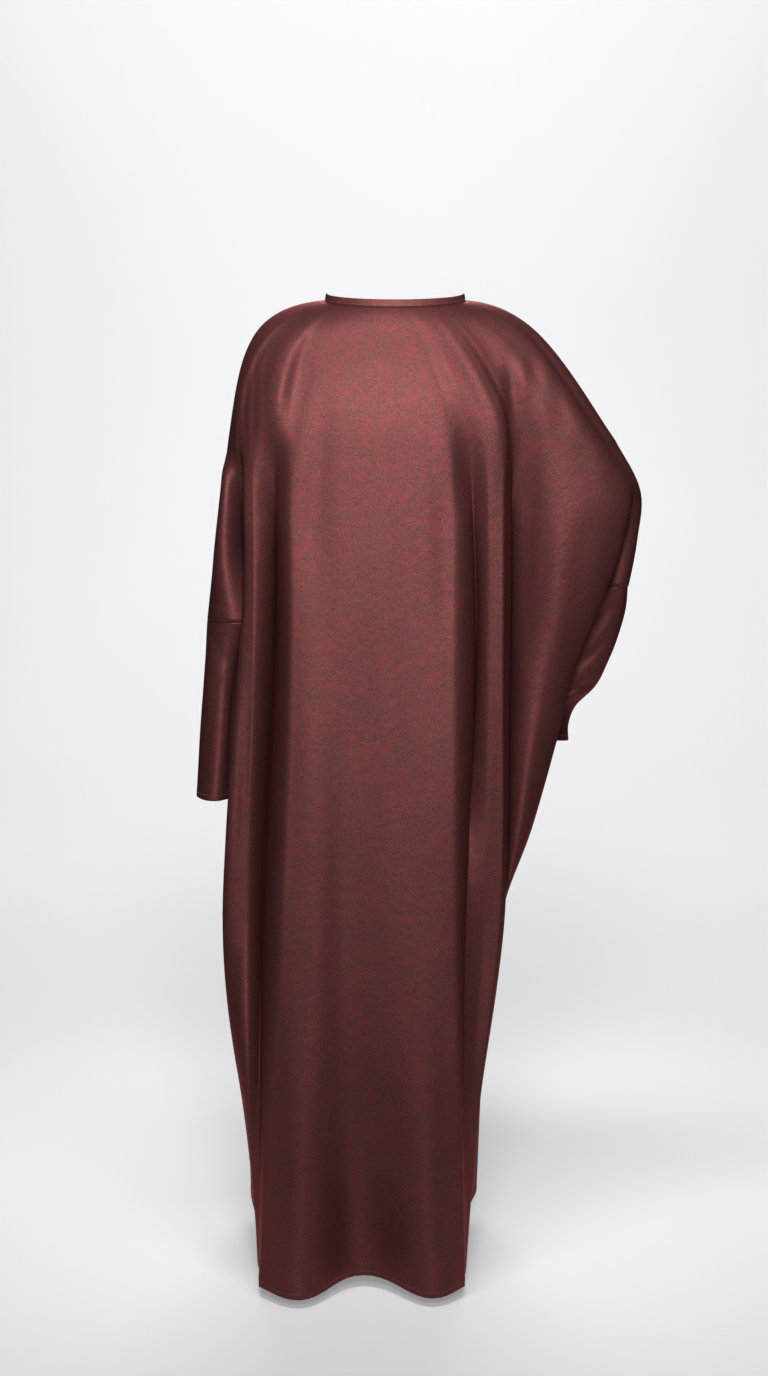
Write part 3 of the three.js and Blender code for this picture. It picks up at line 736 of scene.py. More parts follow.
class Nodes:
    """Short calls for building a material's tree."""

    def __init__(self, name):
        self.material = bpy.data.materials.new(name)
        self.material.use_nodes = True
        self.tree = self.material.node_tree
        self.tree.nodes.clear()

    def add(self, kind, inputs=None, **settings):
        node = self.tree.nodes.new(kind)
        for key, value in settings.items():
            setattr(node, key, value)
        for key, value in (inputs or {}).items():
            socket = node.inputs[key]
            if isinstance(value, bpy.types.NodeSocket):
                self.tree.links.new(value, socket)
            else:
                socket.default_value = value
        return node

    def math(self, operation, a, b):
        return self.add("ShaderNodeMath", {0: a, 1: b}, operation=operation).outputs[0]

    def noise(self, place, scale, detail=2.0):
        """The outputs of a cloudy noise on the flat cloth."""
        inputs = {"Vector": place, "Scale": scale, "Detail": detail}
        return self.add("ShaderNodeTexNoise", inputs, noise_dimensions="2D").outputs

    def cells(self, place, size, feature="F1"):
        """The outputs of a pattern of uneven cells on the flat cloth."""
        inputs = {"Vector": place, "Scale": 1.0 / size, "Randomness": 1.0}
        return self.add("ShaderNodeTexVoronoi", inputs, voronoi_dimensions="2D", feature=feature).outputs

    def ramp(self, value, low, high):
        """A smooth step from 0 at low to 1 at high."""
        inputs = {"Value": value, "From Min": low, "From Max": high}
        return self.add("ShaderNodeMapRange", inputs, interpolation_type="SMOOTHSTEP").outputs["Result"]

    def blend(self, share, a, b, mode="MIX"):
        """Two colours mixed; a Mix node's colour sockets are numbers 6 and 7, and 2 on its way out."""
        node = self.add("ShaderNodeMix", {"Factor": share}, data_type="RGBA", blend_type=mode)
        for socket, value in ((node.inputs[6], a), (node.inputs[7], b)):
            if isinstance(value, bpy.types.NodeSocket):
                self.tree.links.new(value, socket)
            else:
                socket.default_value = (*value[:3], 1.0)
        return node.outputs[2]

    def finish(self, shader):
        self.add("ShaderNodeOutputMaterial", {"Surface": shader.outputs[0]})
        return self.material


WARP = 0.0085  # how far the print's cells are pushed out of shape, in metres
SMALLER = 2.1  # how many times smaller the flecks are than the spots


def satin(name, look):
    """Satin with an irregular print of soft brown spots on red, woven with its floats down the cloth."""
    n = Nodes(name)
    place = n.add("ShaderNodeUVMap", uv_map="cloth").outputs["UV"]
    warp = n.noise(place, 95.0)["Color"]
    shift = n.add("ShaderNodeVectorMath", {0: warp, 1: (0.5, 0.5, 0.5)}, operation="SUBTRACT").outputs[0]
    shift = n.add("ShaderNodeVectorMath", {0: shift, "Scale": WARP}, operation="SCALE").outputs[0]
    warped = n.add("ShaderNodeVectorMath", {0: place, 1: shift}, operation="ADD").outputs[0]

    # The spots: uneven cells with gaps between them, some left out in clusters, and small flecks
    gaps = n.cells(warped, look.spot, "DISTANCE_TO_EDGE")[0]
    random = n.add("ShaderNodeSeparateColor", {"Color": n.cells(warped, look.spot)["Color"]}).outputs
    clusters = n.noise(place, 26.0, 3.0)[0]
    kept = n.math("ADD", random[0], n.math("MULTIPLY", clusters, 0.9))
    spot = n.math("MULTIPLY", n.ramp(gaps, 0.03, 0.2), n.ramp(kept, 0.62, 0.86))
    small = n.cells(warped, look.spot / SMALLER)["Distance"]
    fleck = n.math("MULTIPLY", n.math("SUBTRACT", 1.0, n.ramp(small, 0.16, 0.4)), 0.55)
    mask = n.math("MAXIMUM", spot, n.math("MULTIPLY", fleck, n.ramp(clusters, 0.35, 0.6)))

    # The colours, with a slow unevenness and a fine grain
    browns = n.blend(random[1], look.spot_brown, look.spot_purple)
    reds = n.blend(n.ramp(random[2], 0.2, 0.9), look.ground_red, look.ground_rose)
    colour = n.blend(n.math("MULTIPLY", mask, look.print_strength), reds, browns)
    soft = n.blend(n.noise(place, 5.0)[0], (0.04, 0.02, 0.02), (0.45, 0.3, 0.28))
    colour = n.blend(0.16, colour, soft, "SOFT_LIGHT")
    grain = n.blend(n.ramp(n.noise(place, 520.0)[0], 0.3, 0.7), (0.3, 0.3, 0.3), (0.72, 0.7, 0.7))
    colour = n.blend(0.5, colour, grain, "OVERLAY")

    # The weave: floats down the cloth, thicker picks across it, and a slight crinkle
    down = n.add("ShaderNodeMapping", {"Vector": place, "Scale": (2600.0, 90.0, 1.0)}).outputs[0]
    across = n.add("ShaderNodeMapping", {"Vector": place, "Scale": (160.0, 900.0, 1.0)}).outputs[0]
    floats, picks = n.noise(down, 1.0)[0], n.noise(across, 1.0, 3.0)[0]
    crinkle = n.noise(place, 70.0, 3.0)[0]
    relief = n.math("ADD", n.math("MULTIPLY", floats, 0.35), n.math("MULTIPLY", picks, 0.4))
    relief = n.math("ADD", relief, n.math("MULTIPLY", crinkle, 2.4))
    bump = n.add("ShaderNodeBump", {"Height": relief, "Strength": 0.5, "Distance": 0.00025})
    rough = n.math("ADD", look.roughness - 0.06, n.math("MULTIPLY", floats, 0.12))

    shader = n.add(
        "ShaderNodeBsdfPrincipled",
        {
            "Base Color": colour,
            "Roughness": rough,
            "IOR": 1.45,
            "Specular IOR Level": 0.06,
            "Specular Tint": (1.0, 0.36, 0.36, 1.0),
            "Metallic": look.lustre,
            "Anisotropic": look.anisotropy,
            "Sheen Weight": look.sheen,
            "Sheen Roughness": 0.35,
            "Sheen Tint": (0.95, 0.45, 0.43, 1.0),
            "Normal": bump.outputs[0],
        },
    )
    tangent = n.add("ShaderNodeTangent", direction_type="UV_MAP", uv_map="cloth")
    n.tree.links.new(tangent.outputs[0], shader.inputs["Tangent"])
    return n.finish(shader)


def sewing_thread(name, look):
    """Twisted polyester thread in the cloth's dark red."""
    n = Nodes(name)
    place = n.add("ShaderNodeTexCoord").outputs["Object"]
    fibres = n.add("ShaderNodeTexNoise", {"Vector": place, "Scale": 4200.0, "Detail": 2.0}).outputs[0]
    colour = n.blend(fibres, look.thread, [0.55 * c for c in look.thread])
    bump = n.add("ShaderNodeBump", {"Height": fibres, "Strength": 0.5, "Distance": 0.0001}).outputs[0]
    shader = n.add(
        "ShaderNodeBsdfPrincipled",
        {"Base Color": colour, "Roughness": 0.5, "Sheen Weight": 0.2, "Normal": bump},
    )
    return n.finish(shader)


def studio_paper(name, colour):
    """Matt pale paper with a very slight unevenness."""
    n = Nodes(name)
    place = n.add("ShaderNodeTexCoord").outputs["Object"]
    cloud = n.add("ShaderNodeTexNoise", {"Vector": place, "Scale": 0.9, "Detail": 2.0})
    tint = n.blend(cloud.outputs[0], colour, [0.95 * c for c in colour])
    shader = n.add(
        "ShaderNodeBsdfPrincipled",
        {"Base Color": tint, "Roughness": 0.85, "Emission Color": tint, "Emission Strength": 0.3},
    )
    return n.finish(shader)


# Properties


class ABAYA_PG_look(bpy.types.PropertyGroup):
    """Sizes and colours of the satin"""

    wall: FloatProperty(
        name="Cloth thickness", description="Thickness of the satin", default=0.0009, unit="LENGTH"
    )
    spot: FloatProperty(
        name="Spot size",
        description="Mean distance of the printed spots",
        default=0.0085,
        unit="LENGTH",
    )
    print_strength: FloatProperty(
        name="Print strength",
        description="How far the spots cover the ground",
        default=0.8,
        subtype="FACTOR",
    )
    roughness: FloatProperty(
        name="Roughness",
        description="Roughness of the satin's face",
        default=0.54,
        subtype="FACTOR",
    )
    lustre: FloatProperty(
        name="Lustre",
        description="Share of the light that the filaments mirror",
        default=0.62,
        subtype="FACTOR",
    )
    anisotropy: FloatProperty(
        name="Satin streak",
        description="How far highlights spread across the floats",
        default=0.2,
        subtype="FACTOR",
    )
    sheen: FloatProperty(
        name="Sheen", description="Sheen of the filaments", default=0.0, subtype="FACTOR"
    )
    ground_red: FloatVectorProperty(
        name="Ground",
        description="Main colour of the ground",
        default=(0.135, 0.036, 0.039),
        subtype="COLOR",
    )
    ground_rose: FloatVectorProperty(
        name="Ground variation",
        description="Second colour of the ground",
        default=(0.118, 0.039, 0.037),
        subtype="COLOR",
    )
    spot_brown: FloatVectorProperty(
        name="Spots",
        description="Main colour of the spots",
        default=(0.086, 0.040, 0.035),
        subtype="COLOR",
    )
    spot_purple: FloatVectorProperty(
        name="Spot variation",
        description="Second colour of the spots",
        default=(0.090, 0.038, 0.038),
        subtype="COLOR",
    )
    thread: FloatVectorProperty(
        name="Thread",
        description="Colour of the sewing thread",
        default=(0.16, 0.05, 0.05),
        subtype="COLOR",
    )


class ABAYA_PG_sewing(bpy.types.PropertyGroup):
    """Sizes of the hems and stitches"""

    hem: FloatProperty(
        name="Hem width", description="Width of the narrow hem", default=0.009, unit="LENGTH"
    )
    pitch: FloatProperty(
        name="Stitch pitch", description="Distance between stitches", default=0.003, unit="LENGTH"
    )
    stitch: FloatProperty(
        name="Stitch length", description="Length of one stitch", default=0.0023, unit="LENGTH"
    )
    radius: FloatProperty(
        name="Thread radius", description="Radius of the thread", default=0.00024, unit="LENGTH"
    )
    seed: IntProperty(name="Seed", description="Seed of the stitches' unevenness", default=7)


class ABAYA_PG_stage(bpy.types.PropertyGroup):
    """Camera, lights and floor"""

    lens: FloatProperty(name="Lens", description="Focal length in millimetres", default=72.13)
    distance: FloatProperty(
        name="Distance", description="From the camera to the garment", default=4.0, unit="LENGTH"
    )
    height: FloatProperty(
        name="Height", description="Height of the camera", default=-0.083, unit="LENGTH"
    )
    aside: FloatProperty(
        name="Aside",
        description="The camera's offset to the wearer's left",
        default=0.016,
        unit="LENGTH",
    )
    tilt: FloatProperty(
        name="Tilt",
        description="How far the camera looks down",
        default=math.radians(6.82),
        subtype="ANGLE",
    )
    key_power: FloatProperty(
        name="Key light", description="Power of the key light", default=14.7, unit="POWER"
    )
    top_power: FloatProperty(
        name="Top light", description="Power of the high light", default=11.5, unit="POWER"
    )
    fill_power: FloatProperty(
        name="Fill light", description="Power of the fill light", default=9.0, unit="POWER"
    )
    far_power: FloatProperty(
        name="Far side light", description="Power beyond the garment", default=6.5, unit="POWER"
    )
    wall_power: FloatProperty(
        name="Wall light", description="Power of the light on the wall", default=132.0, unit="POWER"
    )
    world: FloatProperty(name="Room light", description="Strength of the light all round", default=0.01)
    backdrop: FloatProperty(
        name="Backdrop", description="Brightness of the room past the paper", default=0.8
    )
    floor_gap: FloatProperty(
        name="Hem clearance", description="From the hem to the floor", default=0.014, unit="LENGTH"
    )
    paper: FloatVectorProperty(
        name="Paper",
        description="Colour of the floor and wall",
        default=(0.86, 0.86, 0.88),
        subtype="COLOR",
    )


def made_once(name, maker):
    """The cloth's or the thread's material, made when it is first asked for."""
    return bpy.data.materials.get(name) or maker(name, bpy.context.scene.abaya_look)


def satin_material():
    """The satin of all five pieces."""
    return made_once("printed satin", satin)


def thread_material():
    """The thread of all the stitches."""
    return made_once("sewing thread", sewing_thread)


# Cloth pieces


def shaped_panel(panel):
    """A panel's finished grid with its creases, and its normals, both in mm."""
    grid = panel_grid(panel)
    outward = 1.0 if panel == "back" else -1.0
    normals = grid_normals(grid, outward)
    press = crease_depth(panel, grid) + seam_dip(grid)
    grid = grid - normals * press[..., None]
    return grid, grid_normals(grid, outward)


def build_panel(panel, name):
    """A panel with its hem, and its grid and normals in mm."""
    look, sewing = bpy.context.scene.abaya_look, bpy.context.scene.abaya_sewing
    grid, normals = shaped_panel(panel)
    wall = look.wall / MM
    turned = turned_edge(grid, normals, sewing.hem / MM, wall)
    centre_fold = [fold["line"] for fold in FOLDS[panel]].index(CENTRE_LINE[panel])
    uv = cloth_uv(grid, sum(span_steps(panel)[: LINES_BEFORE_FOLDS + centre_fold]))
    uv = np.concatenate([uv, turned_uv(uv[-1], len(turned))]) + PRINT_START[panel]
    cloth = np.concatenate([grid, turned])
    piece = mesh_from_grid(name, cloth, uv, satin_material(), wall, flip=panel == "front")
    return piece, grid, normals


def arm_edge(grid, side):
    """A panel's lower edge over one arm, from the line over the arm to the pit."""
    if side == "left":
        return grid[LEFT_SEAM_ROW, : ARM_COLUMNS + 1]
    return grid[RIGHT_SEAM_ROW, -(ARM_COLUMNS + 1) :][::-1]


def spline_rows(rings, count):
    """Rows on smooth curves through rings of points."""
    last = len(rings) - 1
    rows = []
    for k in range(count + 1):
        s = last * k / count
        i = min(int(s), last - 1)
        t = s - i
        p0, p1 = rings[max(i - 1, 0)], rings[i]
        p2, p3 = rings[i + 1], rings[min(i + 2, last)]
        m1, m2 = (p2 - p0) / 2, (p3 - p1) / 2
        ends = p1 * (1 + 2 * t) * (1 - t) ** 2 + p2 * t * t * (3 - 2 * t)
        rows.append(ends + m1 * t * (1 - t) ** 2 - m2 * t * t * (1 - t))
    return np.array(rows)


SLEEVE_ROWS = {"left": 74, "right": 82}
SLEEVE_RADIUS = 50.0  # for the way round a sleeve that a crease's degrees stand for
SLEEVE_WAVINESS = 0.6


def sleeve_grid(side):
    """The middle surface of a sleeve in mm, a closed tube from the armhole seam to the cuff."""
    back, front = panel_grid("back"), panel_grid("front")
    top = np.concatenate([arm_edge(back, side), arm_edge(front, side)[1:-1][::-1]])
    sign = 1.0 if side == "left" else -1.0
    near = np.abs(np.arange(len(top)) - ARM_COLUMNS)
    fade = np.clip(1 - CLEAR_FADE * near / COLUMNS_PER_CAD, 0, 1) * (near < CLEAR_COLUMNS)
    top = top + np.array(CLEAR_OF_BODY[side]) * fade[:, None]
    angle = np.pi * np.arange(len(top)) / ARM_COLUMNS
    hollow = SLEEVE_HOLLOWS[side]
    rings = [top]
    rows = SLEEVES[side]
    for r in range(len(rows["z"])):
        strength = min(1.0, (r + 1) / 2)
        inset = hollow["depth"] * strength * np.exp(-(((angle - hollow["angle"]) / hollow["width"]) ** 2))
        outward = (rows["half_width"][r] - inset) * np.cos(angle)
        backward = (rows["half_depth"][r] - inset) * np.sin(angle)
        rise = rows["rise_out"][r] * outward + rows["rise_back"][r] * backward
        x, y, z = rows["x"][r] + sign * outward, rows["y"][r] + backward, rows["z"][r] + rise
        rings.append(np.stack([x, y, z], -1))
    return spline_rows(rings, SLEEVE_ROWS[side]), angle


def closed_normals(grid, flip):
    """Normals of a closed tube's grid."""
    wide = np.concatenate([grid[:, -1:], grid, grid[:, :1]], axis=1)
    return grid_normals(wide, flip)[:, 1:-1]


def shaped_sleeve(side):
    """A sleeve's finished grid with its creases, and its normals, both in mm."""
    grid, angle = sleeve_grid(side)
    outward = 1.0 if side == "left" else -1.0
    normals = closed_normals(grid, outward)
    down = np.concatenate([[0.0], np.cumsum(np.linalg.norm(np.diff(grid.mean(1), axis=0), axis=1))])
    around, far = np.broadcast_arrays(np.degrees(angle)[None, :], down[:, None])
    press = np.zeros(around.shape)
    per_degree = math.radians(1) * SLEEVE_RADIUS
    for crease in SLEEVE_CREASES[side]:
        start = (crease["around"] * per_degree, -crease["down"])
        end = (crease["end_around"] * per_degree, -crease["end_down"])
        press += press_of(crease, *bowed_distance(around * per_degree, -far, start, end, 0.0))
    press += ELBOW_SEAM_DIP * np.exp(-((far / 3.0) ** 2))
    press += SLEEVE_WAVINESS * np.sin(around / 11.0 + far / 60.0) * np.clip(far / 40, 0, 1)
    grid = grid - normals * press[..., None]
    return grid, closed_normals(grid, outward)


def build_sleeve(side, name):
    """A sleeve with its hem, and its grid and normals in mm."""
    look, sewing = bpy.context.scene.abaya_look, bpy.context.scene.abaya_sewing
    grid, normals = shaped_sleeve(side)
    wall = look.wall / MM
    turned = turned_edge(grid, normals, sewing.hem / MM, wall)
    step = np.linalg.norm(np.diff(np.concatenate([grid, grid[:, :1]], 1), axis=1), axis=-1)
    u = np.concatenate([np.zeros((len(grid), 1)), np.cumsum(step, axis=1)[:, :-1]], axis=1)
    fall = np.cumsum(np.linalg.norm(np.diff(grid, axis=0), axis=-1), 0)
    down = np.concatenate([np.zeros((1, grid.shape[1])), fall])
    uv = np.stack([u, -down], -1) * MM + PRINT_START[f"sleeve_{side}"]
    uv = np.concatenate([uv, turned_uv(uv[-1], len(turned))])
    cloth = np.concatenate([grid, turned])
    piece = mesh_from_grid(name, cloth, uv, satin_material(), wall, closed=True, flip=side == "right")
    return piece, grid, normals


BAND_HEIGHT, BAND_FOOT, BAND_LEAN, BAND_SETBACK, BAND_WALL = 10.0, 1.0, 1.5, 1.65, 1.6
BAND_PLUMP = 0.15  # how far the folded strip swells halfway up
BAND_STITCH = 2.2  # the height of the stitches above the strip's foot line


def build_neckband(name):
    """The folded strip that stands inside the neckline, as one closed ring of cloth."""
    share = np.linspace(0, 1, 121)
    lines = [(panel, neckline(panel, share), yoke_out(panel, share)) for panel in ("back", "front")]
    points = np.concatenate([lines[0][1], lines[1][1][1:-1][::-1]])
    inward = unit(np.concatenate([lines[0][2], lines[1][2][1:-1][::-1]]) * (-1, -1, 0))
    half = BAND_WALL / 2
    inner_side = [
        (half, -BAND_FOOT), (half, 2.0), (half + BAND_PLUMP, 5.0), (half, 8.0), (half * 0.85, 9.4),
        (half * 0.4, 9.95),
    ]
    profile = inner_side + [(0.0, 10.05)] + [(-out, height) for out, height in inner_side[::-1]]
    walk = np.concatenate([[0.0], np.cumsum(np.linalg.norm(np.diff(points, axis=0), axis=1))])
    wave = 0.25 * np.sin(walk / 7.3) + 0.2 * np.sin(walk / 13.1 + 1.0)
    rows = []
    for out, height in profile:
        lean = BAND_LEAN * height / BAND_HEIGHT
        shift = BAND_SETBACK + lean - out + wave * max(height, 0.0) / BAND_HEIGHT
        rows.append(points + inward * shift[:, None] + np.array((0, 0, height)))
    grid = np.array(rows)
    rise = np.concatenate([[0.0], np.cumsum([math.dist(a, b) for a, b in zip(profile, profile[1:])])])
    uv = np.stack(np.broadcast_arrays(walk[None, :], rise[:, None]), -1) * MM + PRINT_START["neckband"]
    piece = mesh_from_grid(name, grid, uv, satin_material(), wall=0, closed=True, flip=True)
    shift = BAND_SETBACK + BAND_LEAN * 0.2 - half - BAND_PLUMP
    return piece, points + inward * shift + (0, 0, BAND_STITCH)


# Stitches


def stitch_tree():
    """Geometry Nodes: short threads along the path's edges, one for each pitch."""
    tree = bpy.data.node_groups.new("stitches", "GeometryNodeTree")
    face = tree.interface
    face.new_socket("Geometry", in_out="INPUT", socket_type="NodeSocketGeometry")
    for label in ("Pitch", "Stitch length", "Thread radius"):
        face.new_socket(label, in_out="INPUT", socket_type="NodeSocketFloat")
    face.new_socket("Seed", in_out="INPUT", socket_type="NodeSocketInt")
    face.new_socket("Thread", in_out="INPUT", socket_type="NodeSocketMaterial")
    face.new_socket("Geometry", in_out="OUTPUT", socket_type="NodeSocketGeometry")
    nodes, link = tree.nodes, tree.links.new
    given, result = nodes.new("NodeGroupInput"), nodes.new("NodeGroupOutput")
    to_curve = nodes.new("GeometryNodeMeshToCurve")
    link(given.outputs["Geometry"], to_curve.inputs["Mesh"])
    spread = nodes.new("GeometryNodeCurveToPoints")
    spread.mode = "LENGTH"
    link(to_curve.outputs["Curve"], spread.inputs["Curve"])
    link(given.outputs["Pitch"], spread.inputs["Length"])
    thread = nodes.new("GeometryNodeMeshCylinder")
    thread.inputs["Vertices"].default_value = 6
    thread.inputs["Side Segments"].default_value = 2
    link(given.outputs["Thread radius"], thread.inputs["Radius"])
    link(given.outputs["Stitch length"], thread.inputs["Depth"])
    place = nodes.new("GeometryNodeInstanceOnPoints")
    link(spread.outputs["Points"], place.inputs["Points"])
    link(thread.outputs["Mesh"], place.inputs["Instance"])
    link(spread.outputs["Rotation"], place.inputs["Rotation"])
    uneven = nodes.new("FunctionNodeRandomValue")
    uneven.data_type = "FLOAT"
    for end, share in (("Min", 0.82), ("Max", 1.06)):
        socket = next(s for s in uneven.inputs if s.name == end and s.type == "VALUE")
        socket.default_value = share
    link(given.outputs["Seed"], uneven.inputs["Seed"])
    scale = nodes.new("ShaderNodeCombineXYZ")
    scale.inputs["X"].default_value = 1.0
    scale.inputs["Y"].default_value = 1.0
    link(next(s for s in uneven.outputs if s.type == "VALUE"), scale.inputs["Z"])
    link(scale.outputs[0], place.inputs["Scale"])
    real = nodes.new("GeometryNodeRealizeInstances")
    link(place.outputs["Instances"], real.inputs["Geometry"])
    paint = nodes.new("GeometryNodeSetMaterial")
    link(real.outputs["Geometry"], paint.inputs["Geometry"])
    link(given.outputs["Thread"], paint.inputs["Material"])
    link(paint.outputs["Geometry"], result.inputs["Geometry"])
    return tree


def stitch_row(name, path, closed):
    """Stitches along a path in mm, as a plain mesh."""
    sewing = bpy.context.scene.abaya_sewing
    edges = [(i, i + 1) for i in range(len(path) - 1)]
    if closed:
        edges.append((len(path) - 1, 0))
    mesh = bpy.data.meshes.new(name)
    mesh.from_pydata((path * MM).tolist(), edges, [])
    piece = bpy.data.objects.new(name, mesh)
    bpy.context.scene.collection.objects.link(piece)
    tree = bpy.data.node_groups.get("stitches") or stitch_tree()
    modifier = piece.modifiers.new("stitches", "NODES")
    modifier.node_group = tree
    sockets = {item.name: item.identifier for item in tree.interface.items_tree if item.in_out == "INPUT"}
    modifier[sockets["Pitch"]] = sewing.pitch
    modifier[sockets["Stitch length"]] = sewing.stitch
    modifier[sockets["Thread radius"]] = sewing.radius
    modifier[sockets["Seed"]] = sewing.seed
    modifier[sockets["Thread"]] = thread_material()
    bake(piece)
    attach(piece, "root")
    return piece


TOPSTITCH_INSET = 0.0018  # from the stitches to the upper side of the hem, in metres
THREAD_LIFT = 0.12


def above_edge(grid, normals, distance, wall):
    """A path on the outer face, at a distance above the grid's last row."""
    path = []
    for j in range(grid.shape[1]):
        column = grid[:, j]
        walked, i = 0.0, len(column) - 1
        while i > 1 and not np.isnan(column[i - 1, 0]):
            step = np.linalg.norm(column[i] - column[i - 1])
            if walked + step >= distance:
                point = mix(column[i], column[i - 1], (distance - walked) / step)
                path.append(point + normals[i, j] * (wall / 2 + THREAD_LIFT))
                break
            walked += step
            i -= 1
    return np.array(path)


# Operators


class ABAYA_OT_camera(bpy.types.Operator):
    """Place the camera where the photograph was taken from"""

    bl_idname = "abaya.camera"
    bl_label = "Camera"

    def execute(self, context):
        setup = context.scene.abaya_stage
        data = bpy.data.cameras.new("camera")
        data.sensor_width = 36.0
        data.sensor_fit = "AUTO"
        data.lens = setup.lens
        data.clip_end = 50.0
        camera = bpy.data.objects.new("camera", data)
        camera.location = (setup.aside, setup.distance, setup.height)
        camera.rotation_euler = (math.pi / 2 - setup.tilt, 0.0, math.pi)
        context.scene.collection.objects.link(camera)
        context.scene.camera = camera
        return {"FINISHED"}


class ABAYA_OT_panels(bpy.types.Operator):
    """Drape the back and the front, with their seams, creases and hems"""

    bl_idname = "abaya.panels"
    bl_label = "Back and front"

    def execute(self, context):
        look, sewing = context.scene.abaya_look, context.scene.abaya_sewing
        for panel, name in (("back", "BackPanel"), ("front", "FrontPanel")):
            piece, grid, normals = build_panel(panel, name)
            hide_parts(panel)
            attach(piece, "root")
            path = above_edge(grid, normals, (sewing.hem - TOPSTITCH_INSET) / MM, look.wall / MM)
            stitches = stitch_row(f"{name}HemStitches", path, closed=False)
        return {"FINISHED"}


class ABAYA_OT_sleeves(bpy.types.Operator):
    """Hang the two sleeves from the armholes"""

    bl_idname = "abaya.sleeves"
    bl_label = "Sleeves"

    def execute(self, context):
        look, sewing = context.scene.abaya_look, context.scene.abaya_sewing
        for side, name in (("left", "SleeveLeft"), ("right", "SleeveRight")):
            piece, grid, normals = build_sleeve(side, name)
            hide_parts(f"sleeve_{side}")
            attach(piece, "root")
            path = above_edge(grid, normals, (sewing.hem - TOPSTITCH_INSET) / MM, look.wall / MM)
            stitches = stitch_row(f"{name}CuffStitches", path, closed=True)
        return {"FINISHED"}


class ABAYA_OT_neckband(bpy.types.Operator):
    """Set the narrow band into the neckline"""

    bl_idname = "abaya.neckband"
    bl_label = "Neckband"

    def execute(self, context):
        piece, path = build_neckband("Neckband")
        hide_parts("neckband")
        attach(piece, "root")
        stitches = stitch_row("NeckbandStitches", path, closed=True)
        return {"FINISHED"}


# The paper, in metres: from its edge nearest the camera, along the floor, round the bend and up the wall
PAPER = {"front_edge": 0.7, "bend": -4.9, "radius": 1.6, "wall_height": 7.0, "half_width": 1.6}
BEND_STEPS = 24


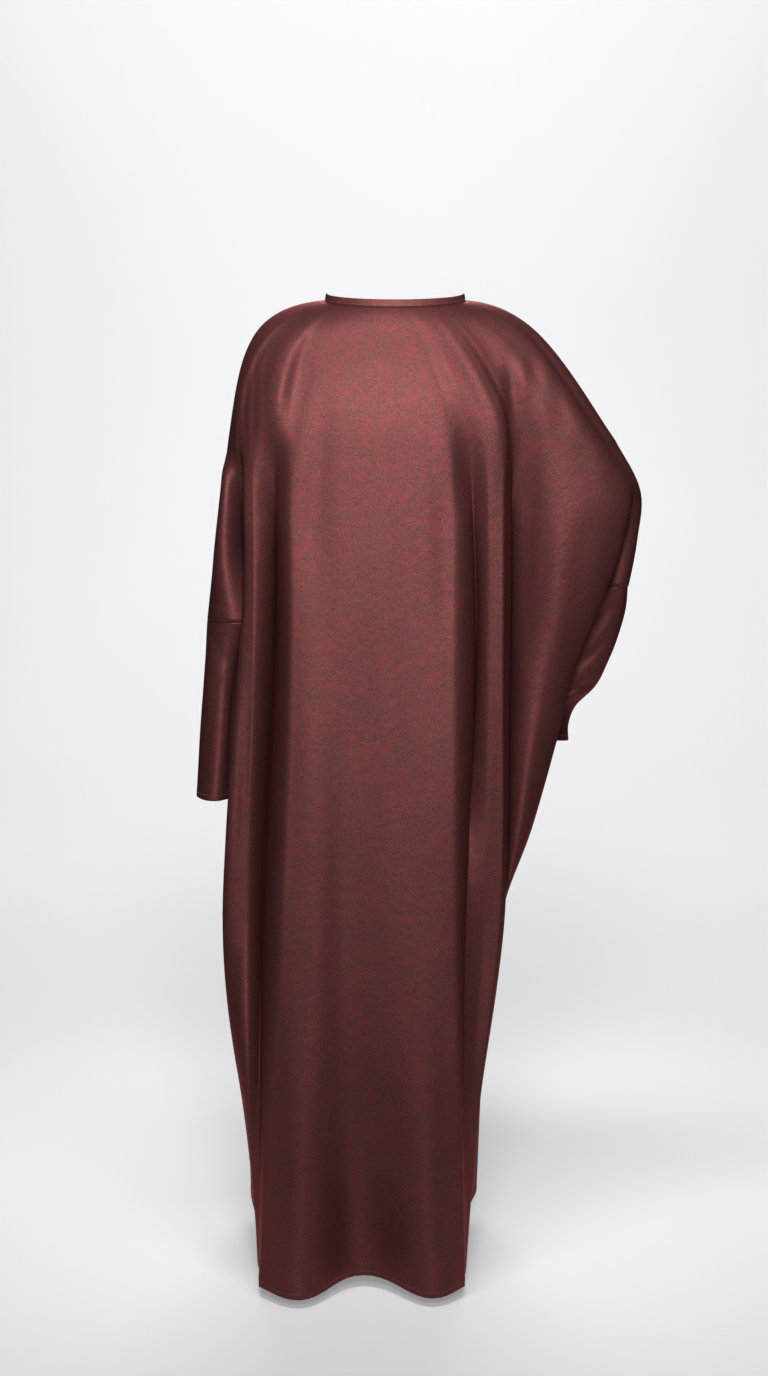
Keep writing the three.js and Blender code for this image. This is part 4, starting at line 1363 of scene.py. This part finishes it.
class ABAYA_OT_stage(bpy.types.Operator):
    """Lay a pale floor that curves up into a wall, and light it softly"""

    bl_idname = "abaya.stage"
    bl_label = "Floor and lights"

    def execute(self, context):
        setup = context.scene.abaya_stage
        floor_z = CAD_BOX[0][2] - setup.floor_gap
        bend, radius, width = PAPER["bend"], PAPER["radius"], PAPER["half_width"]
        profile = [(PAPER["front_edge"], 0.0), (bend, 0.0)]
        for k in range(1, BEND_STEPS + 1):
            turn = math.pi / 2 * k / BEND_STEPS
            profile.append((bend - radius * math.sin(turn), radius * (1 - math.cos(turn))))
        profile.append((bend - radius, PAPER["wall_height"]))
        verts = [(x, y, floor_z + z) for y, z in profile for x in (-width, width)]
        faces = [(2 * i, 2 * i + 1, 2 * i + 3, 2 * i + 2) for i in range(len(profile) - 1)]
        mesh = bpy.data.meshes.new("studio floor")
        mesh.from_pydata(verts, [], faces)
        mesh.materials.append(studio_paper("studio paper", setup.paper))
        mesh.shade_smooth()
        floor = bpy.data.objects.new("studio_floor", mesh)
        context.scene.collection.objects.link(floor)

        for name, place, aim, size, spread, power in (
            ("key light", (0.0, 2.8, 0.8), (0.0, 0.05, 0.2), (0.5, 1.4), 62, setup.key_power),
            ("top light", (0.1, 1.2, 1.9), (0.0, 0.0, 0.0), (1.4, 0.5), 80, setup.top_power),
            ("fill light", (0.0, 3.4, -0.3), (0.0, 0.0, -0.9), (0.5, 1.6), 120, setup.fill_power),
            ("far side light", (0.0, -3.0, 1.2), (0.0, 0.0, -0.5), (2.0, 1.0), 60, setup.far_power),
            ("wall light", (0.0, -3.2, 2.8), (0.0, -6.5, -0.5), (5.0, 2.4), 180, setup.wall_power),
        ):
            data = bpy.data.lights.new(name, "AREA")
            data.shape = "RECTANGLE"
            data.size, data.size_y = size
            data.spread = math.radians(spread)
            data.energy = power
            lamp = bpy.data.objects.new(name, data)
            lamp.location = place
            lamp.rotation_euler = (Vector(aim) - Vector(place)).to_track_quat("-Z", "Y").to_euler()
            lamp.visible_camera = False
            context.scene.collection.objects.link(lamp)

        # The room past the paper looks pale and still gives hardly any light
        world = bpy.data.worlds.new("room")
        world.use_nodes = True
        nodes, link = world.node_tree.nodes, world.node_tree.links.new
        background = nodes["Background"]
        background.inputs["Color"].default_value = (0.95, 0.96, 1.0, 1.0)
        seen, strength = nodes.new("ShaderNodeLightPath"), nodes.new("ShaderNodeMapRange")
        strength.inputs["To Min"].default_value = setup.world
        strength.inputs["To Max"].default_value = setup.backdrop
        link(seen.outputs["Is Camera Ray"], strength.inputs["Value"])
        link(strength.outputs["Result"], background.inputs["Strength"])
        context.scene.world = world
        context.scene.view_settings.view_transform = "Standard"
        return {"FINISHED"}


class ABAYA_PT_panel(bpy.types.Panel):
    """Buttons for building the abaya"""

    bl_idname = "ABAYA_PT_panel"
    bl_label = "Abaya"
    bl_space_type = "VIEW_3D"
    bl_region_type = "UI"
    bl_category = "Abaya"

    def draw(self, context):
        for operator in OPERATORS:
            self.layout.operator(operator.bl_idname)
        for group in ("abaya_look", "abaya_sewing", "abaya_stage"):
            settings = getattr(context.scene, group)
            box = self.layout.box()
            for key in settings.__annotations__:
                box.prop(settings, key)


GROUPS = {"abaya_look": ABAYA_PG_look, "abaya_sewing": ABAYA_PG_sewing, "abaya_stage": ABAYA_PG_stage}
OPERATORS = (ABAYA_OT_camera, ABAYA_OT_panels, ABAYA_OT_sleeves, ABAYA_OT_neckband, ABAYA_OT_stage)


def register():
    """Register the classes and hang the settings on the scene."""
    for cls in (*GROUPS.values(), *OPERATORS, ABAYA_PT_panel):
        bpy.utils.register_class(cls)
    for name, group in GROUPS.items():
        setattr(bpy.types.Scene, name, PointerProperty(type=group))


def unregister():
    """Take away what register() added."""
    for name in GROUPS:
        delattr(bpy.types.Scene, name)
    for cls in (ABAYA_PT_panel, *reversed(OPERATORS), *reversed(GROUPS.values())):
        bpy.utils.unregister_class(cls)


def main():
    """Build everything in order."""
    register()
    bpy.ops.abaya.camera()
    bpy.ops.abaya.panels()
    bpy.ops.abaya.sleeves()
    bpy.ops.abaya.neckband()
    bpy.ops.abaya.stage()


if __name__ == "__main__":
    main()
